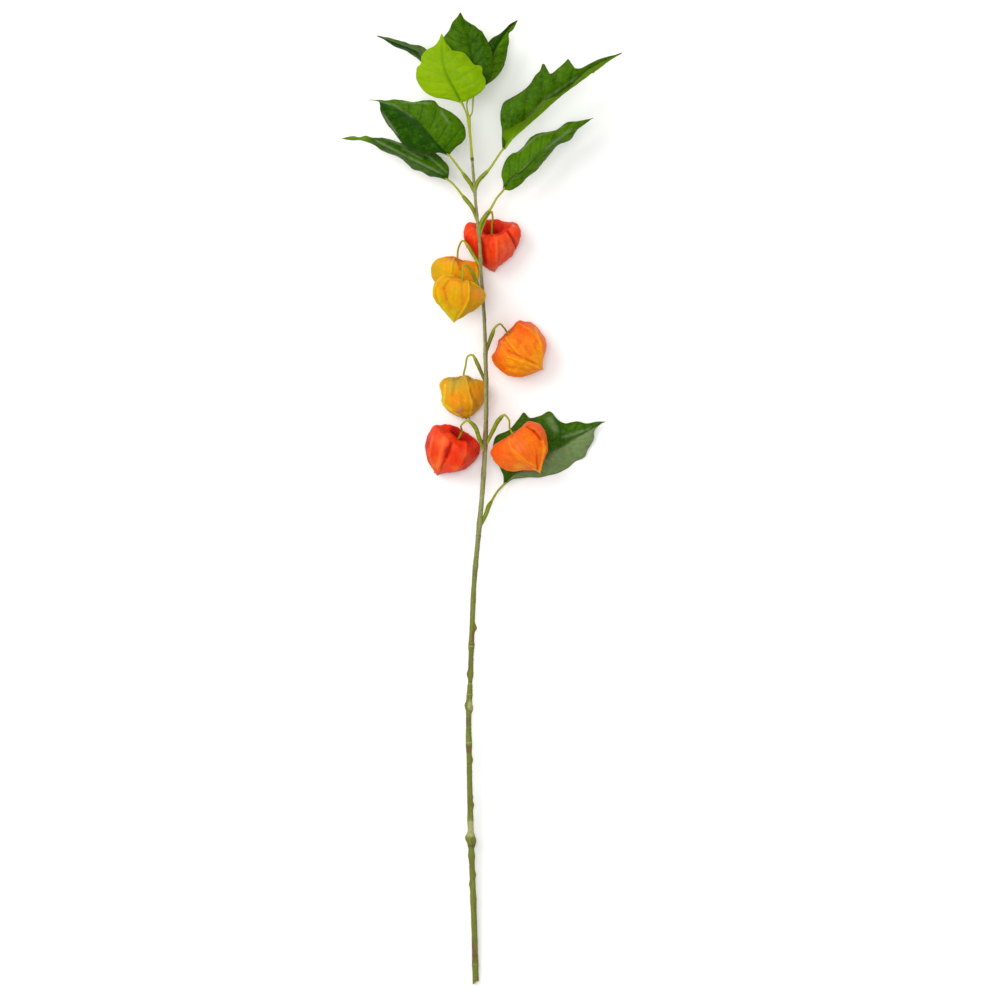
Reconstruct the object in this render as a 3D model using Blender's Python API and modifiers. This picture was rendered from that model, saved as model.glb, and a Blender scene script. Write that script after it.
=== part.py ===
"""A cut stem of Chinese lantern (Physalis alkekengi), lying on a flat surface.

The stem lies along Y, cut end at -Y and leafy end at +Y, with +Z up and the surface at Z = 0.
One woody stem ends in a green shoot. Nine leaves and seven papery lanterns hang on it, each on its own stalk.
Five of the lanterns rest on the surface and carry the stem, whose cut end touches the surface too.
"""

import math

import bmesh
import bpy
from mathutils import Matrix, Vector

MM = 0.001
STATION_STEP = 14             # millimetres between the stem's plain cross-sections
RING_STEP = 3                 # and between the ones on either side of a ring or bud
STEM_GAP = 0.345 * MM         # clearance between the stem and the stalks that leave it
BLADE_SEAT = 0.6 * MM         # from a leaf stalk's end to its blade's base, about half of it clear
LEAF_THICKNESS = 0.8 * MM
LEAF_NECK = 0.9 * MM          # half width of a blade where its stalk meets it
LEAF_POINT = 0.35 * MM        # half width of a blade at its tip
LEAF_BULGE = 0.10             # how far each half of a blade bulges, as a share of its width
LEAF_ROWS = 16                # faces along a plain blade
TOOTHED_ROWS = 26             # faces along a blade with teeth
LEAF_COLUMNS = 6              # faces across a blade
MIDRIB_STEP = 0.02            # share of a midrib over which its direction is read
TOOTHED_LEAVES = ("toothed_right_leaf", "low_leaf")
HUSK_RIBS = 5
HUSK_MERIDIANS = 30           # faces round a lantern, six to each of its five sides
HUSK_RINGS = 17               # faces from a lantern's mouth to its tip
OUTLINE_ROWS = 60             # points down a lantern, and from rib to rib, that its own outline is read from
OUTLINE_STEPS = 36
STALK_SIDES = 2               # bevel resolution of the stalks and the stem

# Centre line of the woody stem, from the cut end up: X, Y, Z in millimetres.
STEM_LINE = [
    (-5.4, -440, 2.6), (-7.7, -361, 7.8), (-9.8, -307, 11.2), (-11.3, -240, 15.4),
    (-11.8, -195, 18.3), (-10.3, -160, 20.5), (-8.8, -116, 23.3), (-6.9, -75, 25.9),
    (-3.1, -33, 28.5), (0.6, 8, 31.1), (3.2, 53, 34.0), (4.0, 92, 36.6), (3.4, 125, 39.2),
    (2.3, 161, 41.8), (-0.2, 197, 44.6), (-2.5, 237, 47.6), (-5.7, 269, 50.0), (-8.8, 307, 52.4),
]
# Radius of the stem between its nodes: Y and radius in millimetres.
STEM_RADIUS = [(-440, 2.7), (-250, 2.45), (-90, 2.3), (50, 2.1), (150, 1.65), (200, 1.4), (307, 1.25)]
# Swollen rings and pinches on the stem: Y, added radius and half length in millimetres.
STEM_RINGS = [
    (-420, 0.25, 4), (-361, 0.3, 6), (-322, 0.6, 4), (-307, 1.7, 5), (-289, 0.4, 6), (-219, 0.5, 7),
    (-187, 0.6, 5), (-177, 0.35, 3), (-165, -0.4, 3), (-158, 0.4, 3), (-132, 0.6, 4), (-91, 0.2, 6),
    (-60, 0.3, 3), (-33, 0.2, 3), (-22, 0.5, 6), (20, 0.2, 5), (53, 0.5, 6), (107, 0.4, 5),
    (131, 0.4, 5), (188, 0.45, 4), (215, 0.4, 4), (242, 0.8, 4), (279, 0.5, 4), (306, 0.25, 2),
]
# Buds and leaf scars: Y, direction round the stem in degrees (0 is +X, 90 is up), height, half length.
STEM_BUDS = [
    (-339, 0, 0.9, 2.5), (-348, 180, 0.8, 2.5), (-305, 180, 1.2, 3.5), (-310, 0, 1.0, 3.5),
    (-276, 0, 1.3, 3.0), (-269, 10, 0.8, 2.0), (-235, 0, 0.9, 3.0), (-186, 180, 1.1, 3.0),
    (-189, 0, 1.0, 3.0), (-158, 180, 0.8, 2.5), (-116, 0, 2.2, 3.0), (-66, 120, 0.7, 2.5),
]
CUT_END = (-5.2, -436.5, 2.8)
CUT_SLANT = math.radians(32)

# The green shoot beyond the brown ring, and its radius at each point.
SHOOT_LINE = [(-8.85, 307.35, 52.4), (-9.9, 320, 53.3), (-11.0, 332, 54.2), (-11.9, 342, 55.0)]
SHOOT_RADII = [1.35, 1.1, 1.25, 1.95]

# Each leaf, in millimetres. "base" is where its stalk meets it. "midrib", "left" and "right" run from there
# to the tip: the midrib as X, Y, Z and the two edges as X, Y. The lifts are each edge's height over the
# midrib at even steps from base to tip.
LEAVES = {
    "top_lime_leaf": {
        "base": (-18.4, 356, 61),
        "midrib": [(0, 0, 0), (-5.5, 11, 3.5), (-11.5, 21.5, 5.5), (-16, 34, 6.5), (-17.2, 48, 5),
                   (-17.7, 62, 2)],
        "left": [(0, 0), (-8, 2), (-17, 4), (-25, 6), (-32, 10), (-37.5, 17), (-40, 27), (-39, 32.5),
                 (-36.3, 34.5), (-35.5, 41), (-31, 47), (-24, 51), (-19.2, 57), (-17.7, 62)],
        "right": [(0, 0), (3, 1), (11, 5), (17, 9.5), (21, 15), (21.3, 20.5), (18.5, 26), (18.4, 31.5),
                  (16, 33.6), (12, 34), (6, 41), (1.5, 45), (-3, 46), (-7.5, 46), (-11, 49.5), (-14.8, 56),
                  (-17.7, 62)],
        "left_lift": (0, -2, -6, -3, 0),
        "right_lift": (0, 1, -3, -2, 0),
    },
    "top_middle_leaf": {
        "base": (-8.8, 366.3, 54),
        "midrib": [(0, 0, 0), (1.4, 12.5, -2), (0.2, 26, -3), (-2, 38, -3), (-4.5, 48, -2), (-7.5, 59, 0),
                   (-10.6, 71, 3)],
        "left": [(0, 0), (-7, 2.5), (-18, 11), (-26, 23.5), (-28.5, 36), (-25, 49), (-20.5, 55), (-19.2, 58),
                 (-16.8, 63), (-12, 68), (-10.6, 71)],
        "right": [(0, 0), (5.5, 2), (13.5, 9), (17.5, 20), (17.5, 33), (14, 45), (11, 50), (8.2, 54.3),
                  (5.5, 56), (2.5, 59), (-2, 61.5), (-7.2, 65), (-10.6, 71)],
        "left_lift": (0, -2, -2, -2, 0),
        "right_lift": (0, -1, -2, -1, 0),
    },
    "top_right_leaf": {
        "base": (-5.2, 368.2, 49),
        "midrib": [(0, 0, 0), (4.5, 11, -3), (10, 22, -6), (15.5, 33, -8), (21, 42.5, -8), (28, 52.5, -6),
                   (37.3, 62.5, -3)],
        "left": [(0, 0), (-2, 9), (-2, 21.5), (3.5, 34), (11.2, 42.2), (15.5, 46.8), (21, 49.6), (25.7, 53.5),
                 (31, 58.7), (37.3, 62.5)],
        "right": [(0, 0), (7.7, 4.3), (13, 7.8), (18.3, 12), (23.5, 20), (26.7, 29), (28.3, 38), (29.8, 43),
                  (29.6, 52), (33, 55.5), (35.4, 59.3), (37.3, 62.5)],
        "left_lift": (0, 1, 3, 1, 0),
        "right_lift": (0, -4, -7, -3, 0),
    },
    "top_left_leaf": {
        "base": (-22, 364, 46),
        "midrib": [(0, 0, 0), (-7, 10, -4), (-16, 20.5, -7), (-29.5, 34.5, -9), (-43, 42.2, -10),
                   (-58, 47.3, -11), (-65, 50, -12), (-72.5, 53.2, -14)],
        "left": [(0, 0), (-5, 0.5), (-15, 9), (-26, 22), (-32.8, 31), (-40.5, 36.5), (-46, 40.5),
                 (-58, 45), (-63.5, 48.5), (-72.5, 53.2)],
        "right": [(0, 0), (-2.5, 8.5), (-11, 24), (-20, 33), (-28.5, 39.5), (-33, 42.8), (-42, 44.8),
                  (-53, 48.4), (-64, 51), (-72.5, 53.2)],
        "left_lift": (0, -9, -15, -10, 0),
        "right_lift": (0, 5, 12, 8, 0),
    },
    "upper_left_leaf": {
        "base": (-29.5, 309, 56),
        "midrib": [(0, 0, 0), (-3, 2.5, 1), (-14, 13.5, 4), (-27.5, 29, 6), (-38.5, 38.2, 5.5),
                   (-50.5, 44.2, 3), (-62.3, 48.6, -1), (-72, 49.8, -3)],
        "left": [(0, 0), (-6.5, 2.6), (-14, 1.4), (-23.5, 2), (-31, 4.2), (-37, 7.8), (-44.5, 15), (-52, 25),
                 (-58.7, 34.5), (-61.8, 42), (-63, 48), (-72, 49.8)],
        "right": [(0, 0), (2.2, 3.2), (5.6, 6), (11, 10), (14.5, 17), (14, 23), (11.5, 28), (7, 34),
                  (1, 38.3), (-5, 41.2), (-9.5, 43.8), (-12.5, 48), (-22, 49.2), (-34.5, 47.3), (-44.5, 48.7),
                  (-50.5, 49.8), (-56.5, 48.8), (-63, 49.6), (-72, 49.8)],
        "left_lift": (0, -7, -11, -7, 0),
        "right_lift": (0, -3, -2, 1, 0),
    },
    "lower_left_leaf": {
        "base": (-31, 287.6, 40),
        "midrib": [(0, 0, 0), (-3.5, 2.2, 1), (-11, 6, 3), (-22, 12, 5), (-37, 19.5, 6), (-52, 29, 5),
                   (-67, 35.8, 1), (-79, 37, -3), (-95, 37, -6)],
        "left": [(0, 0), (-7, 1.8), (-14.7, 3.7), (-22, 7.3), (-28, 9), (-33.3, 12.6), (-38.5, 18.3),
                 (-52, 24), (-61, 27.6), (-65.3, 31.5), (-77, 34.7), (-86, 36), (-95, 37)],
        "right": [(0, 0), (0.6, 1.5), (1, 9), (-3.5, 15.8), (-10, 22.3), (-21, 26.5), (-32, 27.6),
                  (-38, 31.7), (-44.6, 33.2), (-53.5, 35.5), (-59.5, 37.3), (-67, 37), (-73.5, 39),
                  (-79, 38), (-87, 38.2), (-95, 37)],
        "left_lift": (0, -11, -15, -9, -3, 0),
        "right_lift": (0, -10, -15, -10, -3, 0),
    },
    "toothed_right_leaf": {
        "base": (19.1, 314.4, 57),
        "midrib": [(0, 0, 0), (8, 8, 0), (17.6, 16.7, 0), (37, 34.2, 0), (56.6, 51.4, 1), (76, 65.6, 2),
                   (88, 74.8, 4), (96, 80, 5), (107, 86.5, 7)],
        "left": [(0, 0), (-0.5, 8), (-0.5, 16), (-2, 25.5), (-1.5, 34), (1, 41), (8, 45.5), (17.6, 51.5),
                 (24.5, 58), (29.3, 65.5), (33.7, 70), (36.2, 76), (39, 71.4), (42.5, 67.4), (49, 71.5),
                 (55.5, 77.2), (58.8, 80.4), (59.8, 76), (63.5, 72.8), (68.5, 72), (78, 76.3), (86, 80.2),
                 (93.7, 82.7), (100.5, 84.2), (107, 86.5)],
        "right": [(0, 0), (1, 7), (-1.5, 12.5), (2, 17), (10.7, 22), (20.5, 28), (27.5, 33.5), (32, 38.5),
                  (36.6, 43.6), (41.5, 45), (52, 50), (58.5, 54.4), (65.3, 60.5), (69.5, 65.3), (76, 71),
                  (86, 76.5), (95.5, 82), (107, 86.5)],
        "left_lift": (0, 4, 6, 4, 0),
        "right_lift": (0, 15, 19, 12, 0),
    },
    "lower_right_leaf": {
        "base": (19.8, 278.6, 48),
        "midrib": [(0, 0, 0), (3, 5, 1), (7.2, 9.5, 2), (17, 16.6, 3.5), (26.6, 26.2, 4.5), (36.5, 36, 4.5),
                   (51, 47.6, 3), (61.7, 54.6, 1), (70.6, 60.2, -1), (80.3, 64.2, -3)],
        "left": [(0, 0), (0.2, 4.7), (-1.7, 11.5), (-0.2, 19.5), (3.2, 27), (8, 31.4), (12, 33), (17.8, 38.3),
                 (23.8, 44.6), (31.5, 49.6), (41, 51.5), (46.3, 52.2), (52, 56), (57.3, 59.8), (64.6, 60.5),
                 (71.5, 62.4), (80.3, 64.2)],
        "right": [(0, 0), (5, -0.6), (11, 2.3), (21.7, 12.4), (29.5, 18.8), (38.3, 27.6), (43.2, 34),
                  (49, 40.3), (59.8, 45.6), (65.6, 53.3), (72.5, 58.4), (80.3, 64.2)],
        "left_lift": (0, -5, -7, -5, 0),
        "right_lift": (0, -8, -13, -8, 0),
    },
    "low_leaf": {
        "base": (20.3, 13.5, 8.5),
        "midrib": [(0, 0, 0), (8.7, 8, -2), (23, 15.3, -4), (37.5, 24.3, -4), (50, 31.7, -4), (62, 39.6, -3),
                   (80, 50, -1), (91, 56.3, 1)],
        "left": [(0, 0), (-0.4, 7), (-3.5, 14), (-9, 25), (-9.6, 36), (-7.5, 42), (4.8, 49), (13.5, 58.7),
                 (17.8, 64.2), (23, 59.4), (33, 61), (41, 65), (46, 59.5), (53, 54.3), (66, 55.9), (74.5, 54),
                 (83.5, 55.8), (91, 56.3)],
        "right": [(0, 0), (7, 4.8), (12.7, 6), (33.6, 7.2), (47.3, 10.2), (57, 15.3), (62, 19.4), (72.8, 26),
                  (74.3, 30), (78, 36), (80.6, 41.3), (81, 49), (85.2, 53.5), (91, 56.3)],
        "left_lift": (0, -3, -3, -2, 0),
        "right_lift": (0, -3, -4, -3, 0),
    },
}

# The leaves' stalks: X, Y, Z and radius in millimetres, from inside the stem out to the blade.
LEAF_STALKS = {
    "top_lime_leaf": [(-12.9, 342.9, 56.0, 0.75), (-14.4, 348, 57.6, 0.75), (-16.4, 352.5, 59.4, 0.8)],
    "top_middle_leaf": [(-11.1, 342.9, 56.0, 0.75), (-12.9, 349, 56, 0.7), (-13.4, 356, 55.6, 0.7),
                        (-11.4, 362, 54.8, 0.75)],
    "top_right_leaf": [(-11.1, 342.9, 54.1, 0.75), (-8.9, 347, 52.6, 0.7), (-8.1, 355, 51, 0.7),
                       (-7.4, 362, 50, 0.75)],
    "top_left_leaf": [(-12.9, 342.9, 54.1, 0.75), (-15, 350, 51, 0.7), (-18, 357, 48.4, 0.75)],
    "upper_left_leaf": [(-6.5, 275, 50.4, 1.2), (-10.2, 283.5, 52, 1.7), (-14.2, 289, 53, 1.75),
                        (-18.1, 294.3, 54, 1.1), (-24.2, 302.4, 55.2, 0.95)],
    "lower_left_leaf": [(-3.8, 249, 48.5, 1.2), (-9.3, 263, 47, 1.7), (-14.2, 269, 45.5, 1.75),
                        (-18.2, 274, 44, 1.1), (-23.5, 280.8, 42, 0.95), (-27.6, 285, 40.6, 0.95)],
    "toothed_right_leaf": [(-6.6, 276, 50.5, 1.2), (-3, 286.3, 52, 1.7), (1.3, 290.9, 53, 1.75),
                           (6.6, 296.5, 54.2, 1.1), (12.8, 305.5, 55.8, 0.95)],
    "lower_right_leaf": [(-2.9, 240.5, 48.4, 1.2), (0.6, 251, 50.2, 1.7), (3.9, 255.5, 50.4, 1.75),
                         (7.8, 260.8, 50.3, 1.1), (13.2, 270.3, 49.4, 0.95)],
    "low_leaf": [(-1.6, -24, 29, 1.6), (3.9, -13, 27.4, 1.7), (5.9, -7, 25.4, 1.9), (9, -1.6, 22, 1.2),
                 (13.8, 6.4, 15, 1.0)],
}

# A lantern's profile: share of its length down from the mouth, and share of the way out. The shoulder runs
# from the rim to the full width, and the flank from there to the tip.
HUSK_SHOULDER = [(0.01, 0), (0.03, 0.47), (0.13, 0.89), (0.29, 1.0)]
HUSK_FLANK = [(0.46, 0.93), (0.62, 0.77), (0.76, 0.54), (0.87, 0.31), (0.95, 0.12), (1.0, 0)]
FUNNEL_THROAT = (0.47, 0.44)  # share of the funnel's depth, and of the rim, where the funnel narrows
HUSK_CREASE = 0.13            # how far a lantern's sides sink between even ribs, as a share of its radius
WIDE_SIDE_POWER = 1.3         # how much deeper a wide side sinks than a narrow one
CREASE_POWER = 0.8            # below 1 for creases with broad floors between sharp ribs
OUTLINE_WAYS = 180            # directions in which a lantern is fitted to its outline

# Each lantern, in millimetres and degrees. "mouth" is the way its mouth faces, "depth" its height over its
# width, and "under" the share of its girth kept below. A taper below 1 is fuller towards the tip. "slope" is
# how far its shoulders slope, "rim" where its funnel begins, and "seat" the way from its stalk's end to the
# funnel's floor, whose walls close in on the stalk. The ribs' directions go round the mouth from the top to
# the right, and swirl towards the tip. The outline is seen from above, about the middle, and starts at the
# tip. "rests" puts a lantern on the surface.
LANTERNS = {
    "top_red_lantern": {
        "middle": (9, 226.5, 21), "mouth": (0, 0.77, 0.64), "rests": True,
        "length": 54, "radius": 26, "depth": 0.82, "taper": 1.15, "under": 0.68,
        "slope": 0.5, "rim": 0.62, "funnel": 0.3, "seat": 3.3, "ribs": (9, 81, 153, 225, 297), "swirl": 0,
        "outline": [(2.5, -22), (5.5, -17.5), (13.5, -11.5), (19, -6), (22, -0.5), (25, 6.5), (26, 14),
                    (24, 20), (19.5, 23.5), (13.5, 23), (7.5, 25), (1, 26), (-6, 25), (-14, 22.5),
                    (-22, 22.5), (-25, 16.5), (-25.5, 9.5), (-23.5, 2), (-19, -5), (-12.5, -12.5),
                    (-5.5, -17.5), (-0.5, -20.5)],
    },
    "rear_yellow_lantern": {
        "middle": (-24, 198.5, 20), "mouth": (0.1, 0.98, 0.1), "rests": True,
        "length": 42, "radius": 22.5, "depth": 0.88, "taper": 0.9, "under": 1,
        "slope": 1, "rim": 0.36, "funnel": 0.17, "seat": 1.6, "ribs": (-12, 57, 130, 200, 275), "swirl": 0,
        "outline": [(1, -22), (7, -16.5), (14.5, -11.5), (19, -5), (21.5, 2), (21.5, 8.5), (19, 15),
                    (13.5, 16), (6, 17), (-1.5, 20.5), (-9, 20), (-15.5, 18), (-20, 14.5), (-21.5, 8.5),
                    (-21, 3), (-18, -3), (-12.5, -9.5), (-5.5, -16.5)],
    },
    "front_yellow_lantern": {
        "middle": (-21, 179, 60.5), "mouth": (0.18, 0.96, 0.1), "rests": False,
        "length": 43.5, "radius": 24, "depth": 0.9, "taper": 1.0, "under": 1,
        "slope": 0.8, "rim": 0.36, "funnel": 0.17, "seat": 1.6, "ribs": (24, 95, 165, 232, 300), "swirl": 0,
        "outline": [(-4, -21), (-1.5, -18.5), (2.5, -16), (8, -12.5), (14, -9.5), (18, -6.5), (21.5, -3),
                    (23.5, 1.5), (23.5, 6), (21, 10), (16, 13.5), (10, 17), (2.5, 19.5), (-5, 22.5),
                    (-10, 23), (-15, 21), (-19.5, 17.5), (-22, 14), (-23, 9), (-23, 3.5), (-21, -1),
                    (-16, -6.5), (-11, -12.5), (-6.5, -17.5)],
    },
    "right_orange_lantern": {
        "middle": (36.5, 133, 22), "mouth": (-0.62, 0.78, 0.1), "rests": True,
        "length": 46, "radius": 26, "depth": 0.86, "taper": 0.6, "under": 1,
        "slope": 0.8, "rim": 0.45, "funnel": 0.17, "seat": 1.0, "ribs": (-11, 45, 115, 190, 280), "swirl": 0,
        "outline": [(18, -16.5), (12.5, -18.5), (5, -21.5), (-2, -23), (-9.5, -22.5), (-15.5, -20),
                    (-22, -15), (-26.5, -9), (-27.5, -5), (-24.5, 0), (-22.5, 4.5), (-22, 9), (-18.5, 13.5),
                    (-14, 18), (-9.5, 22), (-3.5, 28), (1.5, 27), (7.5, 26.5), (13, 22), (18.5, 15),
                    (21.5, 9), (21.5, 3), (19.5, -4.5), (18.5, -10.5)],
    },
    "small_amber_lantern": {
        "middle": (-16, 91.5, 19), "mouth": (-0.02, 0.99, 0.1), "rests": True,
        "length": 42, "radius": 23, "depth": 0.86, "taper": 0.75, "under": 1,
        "slope": 0.7, "rim": 0.5, "funnel": 0.17, "seat": 1.1, "ribs": (-12, 62, 130, 200, 272), "swirl": 50,
        "outline": [(2, -19.5), (6.5, -16.5), (10, -13.5), (13.5, -10.5), (16.5, -6), (19.5, -0.5), (22, 5),
                    (20, 11.5), (14.5, 16), (8.5, 17), (3.5, 20), (-2, 19.5), (-8, 18.5), (-14.5, 18),
                    (-19.5, 16), (-21.5, 12), (-21, 6.5), (-20, 1), (-20, -3.5), (-18, -8), (-13.5, -12.5),
                    (-8, -16), (-2.5, -18)],
    },
    "low_red_lantern": {
        "middle": (-28, 41.5, 22), "mouth": (0.42, 0.78, 0.46), "rests": True,
        "length": 48, "radius": 26, "depth": 0.85, "taper": 0.85, "under": 0.75,
        "slope": 0.7, "rim": 0.42, "funnel": 0.28, "seat": 2.9, "ribs": (-41, 31, 103, 175, 247), "swirl": 0,
        "outline": [(-12.5, -20.5), (-8.5, -19), (-2.5, -18), (5, -17), (12, -15), (18.5, -10.5),
                    (23.5, -5), (26, 1), (26.5, 6.5), (23.5, 11.5), (19, 15), (14, 18.5), (9, 21.5),
                    (5, 24), (0.5, 25), (-4.5, 26), (-9.5, 25), (-14.5, 25.5), (-18.5, 20.5), (-21.5, 14.5),
                    (-23, 8), (-22.5, 1), (-21, -6.5), (-17.5, -13), (-14.5, -17.5)],
    },
    "low_orange_lantern": {
        "middle": (36, 44.5, 31.5), "mouth": (-0.5, 0.86, 0.12), "rests": False,
        "length": 50, "radius": 25.5, "depth": 0.85, "taper": 0.95, "under": 1,
        "slope": 0.8, "rim": 0.36, "funnel": 0.17, "seat": 1.3, "ribs": (-20, 46, 115, 190, 275), "swirl": 0,
        "outline": [(16.5, -21.5), (12.5, -19), (7.5, -18.5), (2, -18), (-5, -19), (-11.5, -19),
                    (-17.5, -16.5), (-23, -12.5), (-26.5, -7.5), (-28, -3), (-27, 1), (-24.5, 4.5),
                    (-19.5, 7.5), (-14.5, 10.5), (-9.5, 14), (-4, 17.5), (0, 20.5), (2.5, 23.5),
                    (6.5, 25.5), (11.5, 25), (15.5, 23.5), (19, 20), (21.5, 15), (23, 8.5), (23.5, 3),
                    (23, -2), (21, -7), (19, -12.5), (18, -17.5)],
    },
}

# The lanterns' arched stalks, as the leaves' ones, up to where each turns down into the lantern's mouth.
LANTERN_STALKS = {
    "top_red_lantern": [(-2.6, 235, 46.6, 1.1), (2.2, 249, 45.2, 1.2), (5.8, 256, 43.4, 1.1),
                        (8.6, 258.6, 40.8, 0.9), (9.8, 254.5, 37, 0.85)],
    "rear_yellow_lantern": [(-1.2, 209, 45.4, 1.1), (-9.7, 223, 44, 1.5), (-13.6, 229.5, 41.5, 1.1),
                            (-16.8, 232.6, 38, 0.85), (-19.2, 229, 33.5, 0.85), (-20.4, 221, 27.5, 0.85)],
    "front_yellow_lantern": [(1.2, 180, 43.2, 1.1), (-3.4, 192, 42.8, 1.3), (-7.5, 201, 45.6, 1.4),
                             (-10.6, 207.4, 51, 1.1), (-13.8, 210, 57, 0.85), (-16.4, 208.4, 61.2, 0.85)],
    "right_orange_lantern": [(3.2, 129, 39.4, 1.1), (6.6, 141, 40, 1.5), (9.2, 148, 40, 1.7),
                             (12, 154.5, 39, 1.0), (16.2, 157.6, 36, 0.85), (19.8, 154.5, 31, 0.85)],
    "small_amber_lantern": [(3.8, 103, 37.5, 1.1), (-0.6, 114, 38.4, 1.4), (-4.4, 122.4, 38.4, 1.6),
                            (-8.6, 129.6, 36, 1.0), (-12, 129, 32, 0.85), (-14.8, 119, 25, 0.85)],
    "low_red_lantern": [(2.6, 41, 33.4, 1.1), (-2.6, 55.5, 36, 1.7), (-6.6, 65.4, 38.4, 1.8),
                        (-13.4, 70.4, 40.4, 1.0), (-17.6, 67.4, 38.5, 0.85)],
    "low_orange_lantern": [(3.2, 47, 33.8, 1.1), (10.2, 62, 37, 1.7), (15.6, 71.6, 39.4, 1.8),
                           (20.6, 75.6, 41.4, 1.0), (24, 72, 41, 0.85)],
}

# Colour, roughness and metallic value of each finish.
FINISHES = {
    "woody_stem": ((0.30, 0.33, 0.20, 1), 0.6, 0.0),
    "green_stalk": ((0.42, 0.50, 0.05, 1), 0.5, 0.0),
    "dark_leaf": ((0.05, 0.17, 0.01, 1), 0.4, 0.0),
    "lime_leaf": ((0.24, 0.47, 0.01, 1), 0.4, 0.0),
    "red_husk": ((0.72, 0.06, 0.02, 1), 0.5, 0.0),
    "orange_husk": ((0.85, 0.20, 0.02, 1), 0.5, 0.0),
    "yellow_husk": ((0.80, 0.34, 0.02, 1), 0.5, 0.0),
}


def clear_scene():
    """Remove whatever the scene holds."""
    for item in list(bpy.data.objects):
        bpy.data.objects.remove(item, do_unlink=True)


def make_collection(name):
    """Add a named collection to the scene."""
    collection = bpy.data.collections.new(name)
    bpy.context.scene.collection.children.link(collection)
    return collection


def finish(name):
    """The material of that name, made the first time it is asked for."""
    material = bpy.data.materials.get(name)
    if material is None:
        colour, roughness, metallic = FINISHES[name]
        material = bpy.data.materials.new(name)
        material.use_nodes = True
        shader = material.node_tree.nodes["Principled BSDF"]
        shader.inputs["Base Color"].default_value = colour
        shader.inputs["Roughness"].default_value = roughness
        shader.inputs["Metallic"].default_value = metallic
    return material


def add_object(name, data, place, material):
    """Put a mesh or curve in the model at a place, as a child of the frame."""
    item = bpy.data.objects.new(name, data)
    parts.objects.link(item)
    item.parent = frame
    item.location = place
    data.materials.append(finish(material))
    return item


def smooth_line(points, share):
    """The point a share of the way, by chord length, along the smooth line through some points."""
    points = [Vector(point) for point in points]
    steps = [(b - a).length for a, b in zip(points, points[1:])]
    slopes = [(b - a) / step for a, b, step in zip(points, points[1:], steps)]
    bends = [slopes[0]]
    for left, right, before, after in zip(slopes, slopes[1:], steps, steps[1:]):
        bends.append((left * after + right * before) / (before + after))
    bends.append(slopes[-1])
    reach = share * sum(steps)
    i = 0
    while i < len(steps) - 1 and reach > steps[i]:
        reach -= steps[i]
        i += 1
    t = min(reach / steps[i], 1.0)
    start = points[i] * (2 * t**3 - 3 * t**2 + 1) + bends[i] * steps[i] * (t**3 - 2 * t**2 + t)
    end = points[i + 1] * (3 * t**2 - 2 * t**3) + bends[i + 1] * steps[i] * (t**3 - t**2)
    return start + end


def between(pairs, at):
    """A value read off a line through (place, value) pairs."""
    for (a, low), (b, high) in zip(pairs, pairs[1:]):
        if at <= b:
            return low + (high - low) * max(0.0, (at - a) / (b - a))
    return pairs[-1][1]


def even_steps(values, share):
    """A value read off a smooth line through values at even steps."""
    last = len(values) - 1
    return smooth_line([(i / last, value, 0) for i, value in enumerate(values)], share).y


def tube(name, points, radii, material):
    """A solid tube through some points, with a radius at each, as a mesh with welded caps."""
    curve = bpy.data.curves.new(name, "CURVE")
    curve.dimensions = "3D"
    curve.bevel_depth = 1.0
    curve.bevel_resolution = STALK_SIDES
    curve.use_fill_caps = True
    spline = curve.splines.new("POLY")
    spline.points.add(len(points) - 1)
    for knot, point, radius in zip(spline.points, points, radii):
        knot.co = (*point, 1)
        knot.radius = radius
    rail = add_object(name + "_rail", curve, (0, 0, 0), material)
    bpy.context.view_layer.update()
    mesh = bpy.data.meshes.new_from_object(rail.evaluated_get(bpy.context.evaluated_depsgraph_get()))
    bpy.data.objects.remove(rail)
    mesh.name = name
    shape = bmesh.new()
    shape.from_mesh(mesh)
    bmesh.ops.remove_doubles(shape, verts=shape.verts, dist=0.01 * MM)
    shape.to_mesh(mesh)
    shape.free()
    mesh.shade_smooth()
    mesh.set_sharp_from_angle(angle=math.radians(50))
    mesh.materials.clear()
    return add_object(name, mesh, (0, 0, 0), material)


def stem_radius(y):
    """Radius of the woody stem at a distance along it, with its rings and pinches."""
    radius = between(STEM_RADIUS, y)
    for place, swell, reach in STEM_RINGS:
        radius += swell * math.exp(-((y - place) / reach) ** 2)
    return radius


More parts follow.
